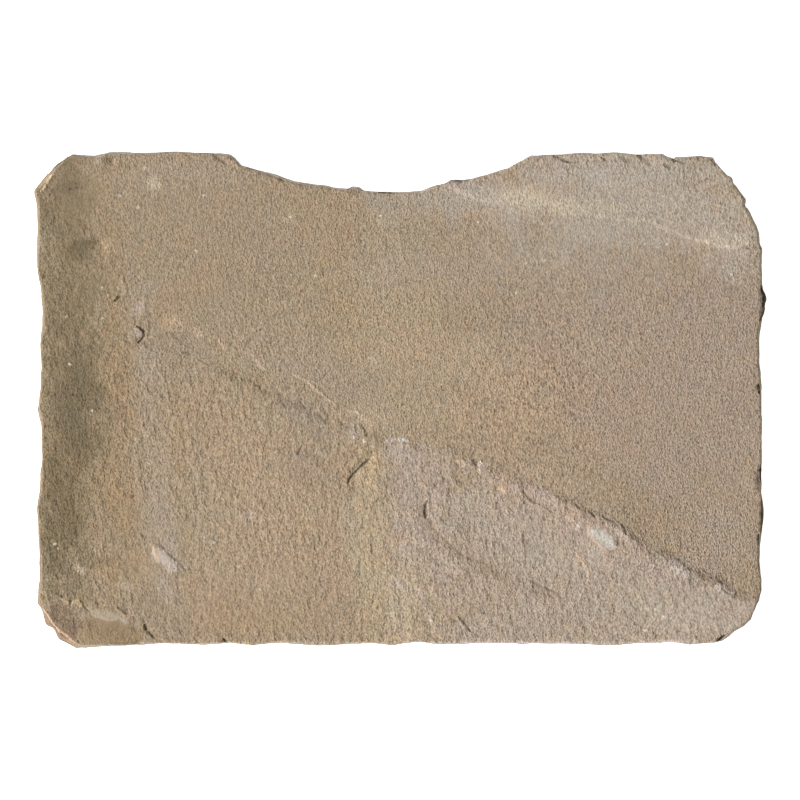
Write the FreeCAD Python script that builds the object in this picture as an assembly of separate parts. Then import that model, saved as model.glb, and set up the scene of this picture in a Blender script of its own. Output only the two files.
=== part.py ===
import FreeCAD, Part
import math
import os
import random
from FreeCAD import Vector

# A riven sandstone flagstone: one slab, split along its bedding and trimmed to shape by hand.
# Millimetres. The origin is on the flat underside, in the middle of the overall length and width.
# +X runs along the length, +Y towards the long edge with the curved bay, +Z up out of the walking face.

# Overall size
STONE_LENGTH = 900.0
STONE_WIDTH = 610.0
STONE_THICKNESS = 40.0

# The four broken corners, each a run of points going anticlockwise seen from above.
# A point is (distance in from the short end, distance in from the long edge).
FRONT_LEFT_CORNER = (
    (5.0, 55.0), (9.0, 48.5), (15.5, 29.0), (23.0, 23.5), (31.0, 11.5), (38.5, 8.0), (52.0, 0.0),
)
FRONT_RIGHT_CORNER = (
    (63.0, 7.0), (54.0, 9.5), (46.5, 15.0), (39.5, 21.5), (28.0, 27.0), (19.0, 35.5), (13.0, 49.0),
    (8.0, 59.0), (5.0, 71.0),
)
BACK_RIGHT_CORNER = (
    (4.5, 118.5), (8.0, 113.0), (9.0, 99.0), (22.5, 70.5), (26.5, 67.0), (25.0, 59.5), (31.0, 50.0),
    (40.0, 38.5), (42.0, 31.5), (48.0, 28.5), (62.5, 13.5), (65.5, 7.0),
)
BACK_LEFT_CORNER = ((48.0, 3.5), (37.0, 8.5), (24.5, 18.5), (13.5, 30.5), (0.0, 48.0))

# The trimmed edges between the corners, anticlockwise too.
# A point is (share of the way along the edge, distance in from the overall size).
FRONT_EDGE = (
    (0.075, 2.5), (0.135, 6.0), (0.20, 3.5), (0.24, 6.5), (0.275, 3.5), (0.32, 6.0), (0.395, 3.0),
    (0.465, 6.0), (0.49, 4.0), (0.54, 7.0), (0.56, 4.5), (0.665, 6.0), (0.79, 4.5), (0.84, 3.5),
    (0.88, 6.0), (0.93, 8.0), (0.96, 4.5),
)
RIGHT_EDGE = (
    (0.13, 7.5), (0.22, 3.5), (0.29, 6.0), (0.37, 5.0), (0.60, 5.5), (0.755, 8.0), (0.80, 3.5), (0.85, 0.0),
    (0.90, 5.0),
)
BACK_EDGE_RIGHT_OF_BAY = (
    (0.07, 5.0), (0.20, 6.5), (0.215, 10.0), (0.28, 2.5), (0.42, 2.5), (0.545, 0.5), (0.72, 1.5),
    (0.94, 4.0),
)
BACK_EDGE_LEFT_OF_BAY = ((0.03, 3.0), (0.10, 1.5), (0.37, 0.0), (0.62, 2.0), (0.77, 1.0), (0.87, 4.5))
LEFT_EDGE = (
    (0.04, 3.5), (0.19, 3.5), (0.245, 8.5), (0.29, 10.0), (0.37, 7.5), (0.43, 8.5), (0.53, 5.0), (0.57, 8.5),
    (0.64, 10.0), (0.77, 3.5), (0.87, 7.5),
)

# The curved bay in the back edge: one arc through its right mouth, its deepest point and its left mouth.
# It was broken out unevenly: a swell is (share of the way along the arc, how much deeper the edge lies).
BAY_CENTRE_X = -6.0
BAY_RIGHT_REACH = 167.0
BAY_RIGHT_MOUTH_DEPTH = 4.5
BAY_DEPTH = 49.0
BAY_LEFT_REACH = 189.5
BAY_LEFT_MOUTH_DEPTH = 16.0
BAY_HORN_LENGTH = 7.5
BAY_HORN_DEPTH = 7.5
BAY_SWELLS = (
    (0.08, 2.5), (0.16, 0.0), (0.28, -3.0), (0.335, -1.5), (0.39, 3.0), (0.47, 1.0), (0.60, -2.5),
    (0.71, -2.5), (0.81, -1.0), (0.90, -3.0), (0.96, -1.0),
)

# Hand dressing: the trimmed sides are rows of chisel facets, proudest at the belly line
CHISEL_PITCH = 26.0
CHISEL_BITE = 1.2
BELLY_HEIGHT = 21.0
BELLY_HEIGHT_SCATTER = 5.0
CREST_SETBACK_LEFT = 3.8
CREST_SETBACK_RIGHT = 3.5
CREST_SETBACK_FRONT = 2.0
CREST_SETBACK_BACK = 1.8
CREST_SETBACK_LEFT_CORNERS = 7.5
CREST_SETBACK_RIGHT_CORNERS = 1.2
FOOT_SETBACK = 6.0
SETBACK_SCATTER = 0.45
CORNER_SHARPNESS = 7
DRESSING_SEED = 7

# The riven walking face: long shallow swells left by the split.
# A wave is (share of the swell height, heading in degrees, wave length, phase in degrees).
SWELL_HEIGHT = 1.0
SWELL_WAVES = ((0.45, 25.0, 460.0, 20.0), (0.30, 118.0, 330.0, 65.0), (0.25, -35.0, 270.0, 140.0))
SWELL_GRID = 55.0

# The diagonal step where the upper bed has broken away, from the left to the right end.
# A point is (share of half the length, share of half the width).
STEP_EDGE = (
    (-0.74, 0.44), (-0.66, 0.29), (-0.585, 0.19), (-0.41, 0.09), (-0.257, 0.06), (-0.16, -0.03),
    (-0.095, -0.13), (-0.03, -0.165), (0.14, -0.19), (0.215, -0.27), (0.335, -0.33), (0.42, -0.38),
    (0.53, -0.46), (0.593, -0.50), (0.66, -0.575), (0.73, -0.635), (0.79, -0.67), (0.87, -0.74),
    (0.91, -0.79), (0.98, -0.81),
)
STEP_HEIGHT_AT_LEFT = 0.3
STEP_HEIGHT_AT_RIGHT = 3.2
STEP_SLOPE_RUN = 1.6

# The spall that has flaked off the front left corner
SPALL_LENGTH = 190.0
SPALL_WIDTH = 84.0
SPALL_DEPTH = 8.0

# Chips knocked out of the top edge, each a round scallop.
# A chip is (share of half the length, share of half the width, length along the edge, depth).
EDGE_CHIPS = (
    (0.98, 0.403, 45.0, 5.0), (0.98, 0.044, 21.0, 4.0), (0.98, -0.323, 37.0, 6.0), (0.98, -0.468, 40.0, 3.5),
    (-0.118, 0.855, 22.0, 3.0), (-0.049, 0.838, 25.0, 2.5), (0.148, 0.883, 18.0, 2.5),
    (-0.325, 0.895, 12.0, 3.0), (0.44, 0.976, 16.0, 3.0), (0.669, 0.967, 22.0, 3.0),
    (0.88, -0.964, 18.0, 4.0), (-0.48, -0.98, 12.0, 5.0),
)

# Room by which the cutting shapes reach past the stone
CUT_MARGIN = 120.0

HALF_LENGTH = STONE_LENGTH / 2
HALF_WIDTH = STONE_WIDTH / 2


# Plan outline

def corner(points, end, side):
    """A broken corner at the end (-1 left, 1 right) and side (-1 front, 1 back) that are given."""
    return [(end * (HALF_LENGTH - in_x), side * (HALF_WIDTH - in_y)) for in_x, in_y in points]


def long_edge(start, finish, swells, side):
    """The points of a front or back edge, between two corner points."""
    run = finish[0] - start[0]
    return [(start[0] + run * share, side * (HALF_WIDTH - depth)) for share, depth in swells]


def short_edge(start, finish, swells, end):
    """The points of a left or right edge, between two corner points."""
    run = finish[1] - start[1]
    return [(end * (HALF_LENGTH - depth), start[1] + run * share) for share, depth in swells]


def curved_bay():
    """The points of the bay, from its right mouth to the horn at its left, off the arc by the swells."""
    right_mouth = Vector(BAY_CENTRE_X + BAY_RIGHT_REACH, HALF_WIDTH - BAY_RIGHT_MOUTH_DEPTH, 0)
    deepest = Vector(BAY_CENTRE_X, HALF_WIDTH - BAY_DEPTH, 0)
    left_mouth = Vector(BAY_CENTRE_X - BAY_LEFT_REACH, HALF_WIDTH - BAY_LEFT_MOUTH_DEPTH, 0)
    arc = Part.Arc(right_mouth, deepest, left_mouth).toShape()
    edge = []
    for share, deeper in BAY_SWELLS:
        point = arc.valueAt(arc.getParameterByLength(share * arc.Length))
        edge.append((point.x, point.y - deeper))
    horn = (left_mouth.x - BAY_HORN_LENGTH, HALF_WIDTH - BAY_HORN_DEPTH)
    return [(right_mouth.x, right_mouth.y)] + edge + [(left_mouth.x, left_mouth.y), horn]


def plan_outline():
    """The whole outline, anticlockwise from the left end of the front left corner."""
    front_left = corner(FRONT_LEFT_CORNER, -1, -1)
    front_right = corner(FRONT_RIGHT_CORNER, 1, -1)
    back_right = corner(BACK_RIGHT_CORNER, 1, 1)
    back_left = corner(BACK_LEFT_CORNER, -1, 1)
    bay = curved_bay()
    outline = front_left + long_edge(front_left[-1], front_right[0], FRONT_EDGE, -1)
    outline += front_right + short_edge(front_right[-1], back_right[0], RIGHT_EDGE, 1)
    outline += back_right + long_edge(back_right[-1], bay[0], BACK_EDGE_RIGHT_OF_BAY, 1)
    outline += bay + long_edge(bay[-1], back_left[0], BACK_EDGE_LEFT_OF_BAY, 1)
    outline += back_left + short_edge(back_left[-1], front_left[0], LEFT_EDGE, -1)
    return outline


# Hand-dressed sides

def inward(x, y):
    """The direction into the stone from a point of its outline, turning smoothly round the corners."""
    across_length = math.copysign(abs(x / HALF_LENGTH) ** CORNER_SHARPNESS, x)
    across_width = math.copysign(abs(y / HALF_WIDTH) ** CORNER_SHARPNESS, y)
    size = math.hypot(across_length, across_width)
    return -across_length / size, -across_width / size


def crest_setback(x, y):
    """How far the top edge stands back from the belly of the side at a point of the outline."""
    inward_x, inward_y = inward(x, y)
    at_end = CREST_SETBACK_LEFT if inward_x > 0 else CREST_SETBACK_RIGHT
    at_side = CREST_SETBACK_FRONT if inward_y > 0 else CREST_SETBACK_BACK
    at_corner = CREST_SETBACK_LEFT_CORNERS if inward_x > 0 else CREST_SETBACK_RIGHT_CORNERS
    cornerness = 4 * inward_x ** 2 * inward_y ** 2
    return (at_end * inward_x ** 2 + at_side * inward_y ** 2) * (1 - cornerness) + at_corner * cornerness


def chisel_marks(outline):
    """The outline with a point at each chisel mark, the new ones cut in by a random bite."""
    bites = random.Random(DRESSING_SEED)
    marked = []
    for start, finish in zip(outline, outline[1:] + outline[:1]):
        count = max(1, round(math.dist(start, finish) / CHISEL_PITCH))
        marked.append(start)
        for mark in range(1, count):
            share = mark / count
            x = start[0] + (finish[0] - start[0]) * share
            y = start[1] + (finish[1] - start[1]) * share
            inward_x, inward_y = inward(x, y)
            bite = bites.uniform(0, CHISEL_BITE)
            marked.append((x + inward_x * bite, y + inward_y * bite))
    return marked


def ring(outline, setback, height, scatter, seed):
    """A closed ring of straight edges: the outline set back into the stone and raised, both at random."""
    draw = random.Random(seed)
    points = []
    for x, y in outline:
        inward_x, inward_y = inward(x, y)
        back = setback(x, y) * draw.uniform(1 - SETBACK_SCATTER, 1 + SETBACK_SCATTER)
        raised = height + draw.uniform(-scatter, scatter)
        points.append(Vector(x + inward_x * back, y + inward_y * back, raised))
    return Part.makePolygon(points + points[:1])


def dressed_block():
    """The slab before its walking face is cut: facets from the foot to the belly and on above the face."""
    outline = chisel_marks(plan_outline())
    above_face = STONE_THICKNESS + SWELL_HEIGHT
    foot = ring(outline, lambda x, y: FOOT_SETBACK, 0, 0, DRESSING_SEED + 1)
    belly = ring(outline, lambda x, y: 0, BELLY_HEIGHT, BELLY_HEIGHT_SCATTER, DRESSING_SEED + 2)
    crest = ring(outline, crest_setback, above_face, 0, DRESSING_SEED + 3)
    return Part.makeLoft([foot, belly, crest], True, True)


# The riven walking face

def upper_bed(x, y):
    """The bed that the split left over most of the face: no point of it rises past the stone's thickness."""
    height = STONE_THICKNESS - SWELL_HEIGHT
    for share, heading, wave_length, phase in SWELL_WAVES:
        along = x * math.cos(math.radians(heading)) + y * math.sin(math.radians(heading))
        height += SWELL_HEIGHT * share * math.sin(2 * math.pi * along / wave_length + math.radians(phase))
    return height


def lower_bed(x, y):
    """The bed that shows past the step. It lies deeper the further along the step the point is."""
    start_x, start_y = STEP_EDGE[0][0] * HALF_LENGTH, STEP_EDGE[0][1] * HALF_WIDTH
    run_x, run_y = STEP_EDGE[-1][0] * HALF_LENGTH - start_x, STEP_EDGE[-1][1] * HALF_WIDTH - start_y
    share = ((x - start_x) * run_x + (y - start_y) * run_y) / (run_x ** 2 + run_y ** 2)
    step = STEP_HEIGHT_AT_LEFT + (STEP_HEIGHT_AT_RIGHT - STEP_HEIGHT_AT_LEFT) * max(share, 0)
    return upper_bed(x, y) - step


def waste_above(bed):
    """The stone above a bed, as a block whose lower face is the smooth surface through the bed's heights."""
    reach_x = HALF_LENGTH + CUT_MARGIN
    reach_y = HALF_WIDTH + CUT_MARGIN
    columns = round(2 * reach_x / SWELL_GRID)
    rows = round(2 * reach_y / SWELL_GRID)
    places_x = [reach_x * (2 * column / columns - 1) for column in range(columns + 1)]
    places_y = [reach_y * (2 * row / rows - 1) for row in range(rows + 1)]
    surface = Part.BSplineSurface()
    surface.interpolate([[Vector(x, y, bed(x, y)) for y in places_y] for x in places_x])
    return surface.toShape().extrude(Vector(0, 0, STONE_THICKNESS))


def broken_bed():
    """The waste past the step: the lower bed's waste, within walls that lean back from the step's edge."""
    edge = [Vector(share_x * HALF_LENGTH, share_y * HALF_WIDTH, 0) for share_x, share_y in STEP_EDGE]
    far_x = HALF_LENGTH + CUT_MARGIN / 2
    far_y = HALF_WIDTH + CUT_MARGIN / 2
    edge.append(Vector(far_x, edge[-1].y, 0))
    edge.append(Vector(far_x, far_y, 0))
    edge.append(Vector(edge[0].x + CUT_MARGIN / 4, far_y, 0))
    lean = Vector(-STEP_SLOPE_RUN, -STEP_SLOPE_RUN, 1) * STONE_THICKNESS / 2
    below_face = Vector(0, 0, STONE_THICKNESS) - lean / 2
    wall = Part.Face(Part.makePolygon(edge + edge[:1]))
    wall.translate(below_face)
    return wall.extrude(lean).common(waste_above(lower_bed))


def corner_spall():
    """The flake lost from the front left corner: a wedge that is deepest at the corner's tip."""
    top = STONE_THICKNESS + SPALL_DEPTH
    tip = Vector(-HALF_LENGTH, -HALF_WIDTH, STONE_THICKNESS - SPALL_DEPTH)
    length_end = Vector(SPALL_LENGTH - HALF_LENGTH, -HALF_WIDTH, STONE_THICKNESS)
    width_end = Vector(-HALF_LENGTH, SPALL_WIDTH - HALF_WIDTH, STONE_THICKNESS)
    outward = (length_end - tip).cross(width_end - tip)
    flat = Part.makePlane(CUT_MARGIN * 4, CUT_MARGIN * 4, Vector(-CUT_MARGIN * 2, -CUT_MARGIN * 2, 0))
    flat.Placement = FreeCAD.Placement(tip, FreeCAD.Rotation(Vector(0, 0, 1), outward))
    return flat.extrude(outward.normalize() * top)


def nearest_on_outline(outline, x, y):
    """The point of the outline that is nearest to a place in the plan."""
    nearest = None
    for start, finish in zip(outline, outline[1:] + outline[:1]):
        run_x, run_y = finish[0] - start[0], finish[1] - start[1]
        share = ((x - start[0]) * run_x + (y - start[1]) * run_y) / (run_x ** 2 + run_y ** 2)
        share = min(max(share, 0), 1)
        point = (start[0] + run_x * share, start[1] + run_y * share)
        if nearest is None or math.dist(point, (x, y)) < math.dist(nearest, (x, y)):
            nearest = point
    return nearest


def edge_chip(outline, share_x, share_y, length, depth):
    """The ball that knocks one scallop out of the top edge, leaning in halfway between face and side."""
    x, y = nearest_on_outline(outline, share_x * HALF_LENGTH, share_y * HALF_WIDTH)
    inward_x, inward_y = inward(x, y)
    back = crest_setback(x, y)
    edge = Vector(x + inward_x * back, y + inward_y * back, upper_bed(x, y))
    radius = length ** 2 / (8 * depth) + depth / 2
    outward = Vector(-inward_x, -inward_y, 1).normalize()
    return Part.makeSphere(radius, edge + outward * (radius - depth))


chips = [edge_chip(plan_outline(), *chip) for chip in EDGE_CHIPS]
flagstone = dressed_block().cut([waste_above(upper_bed), broken_bed(), corner_spall()]).cut(chips)

# The file
os.makedirs("parts", exist_ok=True)
flagstone.exportStep("parts/flagstone.step")
box = flagstone.BoundBox
print("solids", len(flagstone.Solids), "valid", flagstone.isValid(), "faces", len(flagstone.Faces))
print("box", box)
print("volume in litres", round(flagstone.Volume / 1e6, 3))
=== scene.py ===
import math

import bmesh
import bpy
import numpy as np
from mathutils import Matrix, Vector
from mathutils.bvhtree import BVHTree
from mathutils.kdtree import KDTree


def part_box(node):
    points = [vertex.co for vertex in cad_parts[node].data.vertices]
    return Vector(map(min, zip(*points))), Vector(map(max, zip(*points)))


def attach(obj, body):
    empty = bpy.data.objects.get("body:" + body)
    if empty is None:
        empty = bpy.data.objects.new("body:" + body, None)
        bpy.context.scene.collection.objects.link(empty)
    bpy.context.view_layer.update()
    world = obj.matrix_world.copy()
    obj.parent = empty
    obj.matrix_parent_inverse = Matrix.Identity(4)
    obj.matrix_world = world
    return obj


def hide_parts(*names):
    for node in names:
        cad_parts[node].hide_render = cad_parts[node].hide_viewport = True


# A riven sandstone flagstone, lying flat and seen from straight above.
# Blender's objects are in metres. Everything about the stone's own relief and colour is in millimetres.

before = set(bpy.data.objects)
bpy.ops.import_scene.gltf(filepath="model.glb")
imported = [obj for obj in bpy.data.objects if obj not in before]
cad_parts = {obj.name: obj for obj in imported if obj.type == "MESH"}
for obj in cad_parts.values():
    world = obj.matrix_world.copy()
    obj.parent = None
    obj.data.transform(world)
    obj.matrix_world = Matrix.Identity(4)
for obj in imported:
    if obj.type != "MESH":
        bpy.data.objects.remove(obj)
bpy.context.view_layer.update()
cad_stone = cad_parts["flagstone"]

MM = 0.001

# Places on the walking face are written in the photograph's pixels, from its left and top edges.
# A pixel, in mm, is one size at the sides' widest line, and a little smaller on the face, which is nearer
PHOTO_SIDE = 800
PIXEL = 1.2295
FACE_PIXEL = 1.2247

IN_PLAN = (1, 1, 0)

# The stone's mesh: squares of one size in mm, halved once near the crest of the rim and twice along the
# marks that are narrow (in pixels) and not too low (in mm), all in the upper part of the stone
SQUARE = 3.9
RIM_REACH = 7.0
MARK_REACHES = (5.0, 0.9)
NARROW_MARK = 3.0
LOW_MARK = 0.15
UPPER_PART = 26.0

# The crest is where the sides turn into the face: above this height, and as steep as this
CREST_FLOOR = 25.0
CREST_SLOPE = (0.35, 0.85)

# Below this height, in mm, lie only the points round the flat underside, which is one face
UNDERSIDE = 0.3
FACING_DOWN = -0.99


def spot(pixel_x, pixel_y):
    """The point in the row frame, in millimetres, at a pixel of the photograph."""
    middle = PHOTO_SIDE / 2
    return (pixel_x - middle) * FACE_PIXEL, (middle - pixel_y) * FACE_PIXEL


def linear(red, green, blue):
    """A shader colour from one read on a screen, 0 to 255."""
    def channel(value):
        value /= 255
        return value / 12.92 if value <= 0.04045 else ((value + 0.055) / 1.055) ** 2.4
    return channel(red), channel(green), channel(blue), 1


# Noise

NOISE_REACH = 1.5


def smooth(value, low, high):
    """0 below low, 1 above high and a smooth rise between."""
    share = np.clip((value - low) / (high - low), 0, 1)
    return share * share * (3 - 2 * share)


def noise(points, wave, seed):
    """Gradient noise of about -1 to 1 at each point, with bumps about half a wave across."""
    table = np.random.default_rng(seed)
    gradients = table.normal(size=(256, 3))
    gradients /= np.linalg.norm(gradients, axis=1, keepdims=True)
    shuffle = table.permutation(256)
    scaled = points / wave
    cell = np.floor(scaled).astype(int)
    inside = scaled - cell
    fade = inside ** 3 * (inside * (inside * 6 - 15) + 10)
    total = np.zeros(len(points))
    for corner in np.ndindex(2, 2, 2):
        step = np.array(corner)
        key = cell + step
        chosen = shuffle[(shuffle[(shuffle[key[:, 0] & 255] + key[:, 1]) & 255] + key[:, 2]) & 255]
        weight = np.prod(np.where(step, fade, 1 - fade), axis=1)
        total += weight * np.einsum("ij,ij->i", gradients[chosen], inside - step)
    return total * NOISE_REACH


def layered_noise(points, waves, seed):
    """Noises added up, from (wave, height) pairs."""
    return sum(height * noise(points, wave, seed + number) for number, (wave, height) in enumerate(waves))


def streaked(points, heading, stretch):
    """The points in a plan turned so that noise over them runs in streaks along the heading."""
    turn = math.radians(heading)
    along = points[:, 0] * math.cos(turn) + points[:, 1] * math.sin(turn)
    across = points[:, 1] * math.cos(turn) - points[:, 0] * math.sin(turn)
    return np.stack([along / stretch, across, np.zeros(len(points))], 1)


# The broken bedding step, from the left to the right end
STEP_LINE = (
    133, 266, 158, 307, 184, 345, 249, 379, 305, 385, 341, 408, 365, 432, 389, 442, 451, 448, 479, 468,
    523, 482, 554, 495, 594, 515, 617, 523, 642, 543, 668, 558, 689, 567, 718, 584, 733, 597, 780, 606,
)
STEP_HEADING = -30.0

# The step is worn to a slope, whose half run in mm is uneven:
# (share of the way along the step, narrowest, widest)
STEP_RUNS = (
    (0, 7, 10), (0.5, 7, 11), (0.6, 8, 12), (0.68, 6, 10), (0.73, 3, 6), (0.79, 3, 7), (0.83, 9, 13),
    (0.87, 3.5, 8), (0.94, 5, 9), (1, 9, 13),
)
STEP_RUN_NOISE = 42.0, 15
STEP_SIDE_REACH = 1.15

# How far the line between the two beds' reliefs strays, and how far the worn step's own edge wanders:
# (wave, reach) pairs in mm, and the seed, or the seeds for X and Y
STEP_STRAY = ((32, 2.5), (11, 1.4)), 14
STEP_WANDER = (24, 6), (9, 3.2)
STEP_WANDER_SEEDS = 11, 13

# How wide the two beds' reliefs blend, how far the broken lip reaches, and where along the step it begins
STEP_BLEND = 3.0
LIP_REACH = 14.0
LIP_START = (0.02, 0.3)

# Colours of the marks, as they look on a screen
# The two darkest colours paint shade and shadow in grooves, pits and chips and behind raised edges, along
# with soil and dirt
SOIL_AND_SHADOW = (62, 56, 40)
DIRT_AND_SHADE = (108, 96, 74)
WHITE = (216, 204, 186)
GREY_WHITE = (205, 200, 189)
LILAC = (192, 178, 168)
PALE_LILAC = (202, 188, 176)
PEACH = (216, 187, 158)
PALE_PINK = (222, 200, 181)
LIP_HIGHLIGHT = (202, 178, 153)
PINK = (192, 166, 145)
OCHRE = (204, 175, 139)
GREY = (168, 156, 141)
PALE_LICHEN = (182, 168, 143)
BROWN = (138, 115, 92)
FRESH_BROWN = (147, 125, 97)
DARK_BROWN = (126, 106, 86)
CREAM = (206, 191, 168)
FRESH_CREAM_HIGHLIGHT = (232, 208, 172)
FRESH_PEACH_HIGHLIGHT = (226, 190, 158)
FACET_BROWN = (150, 124, 103)
OLIVE = (126, 113, 88)

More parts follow.
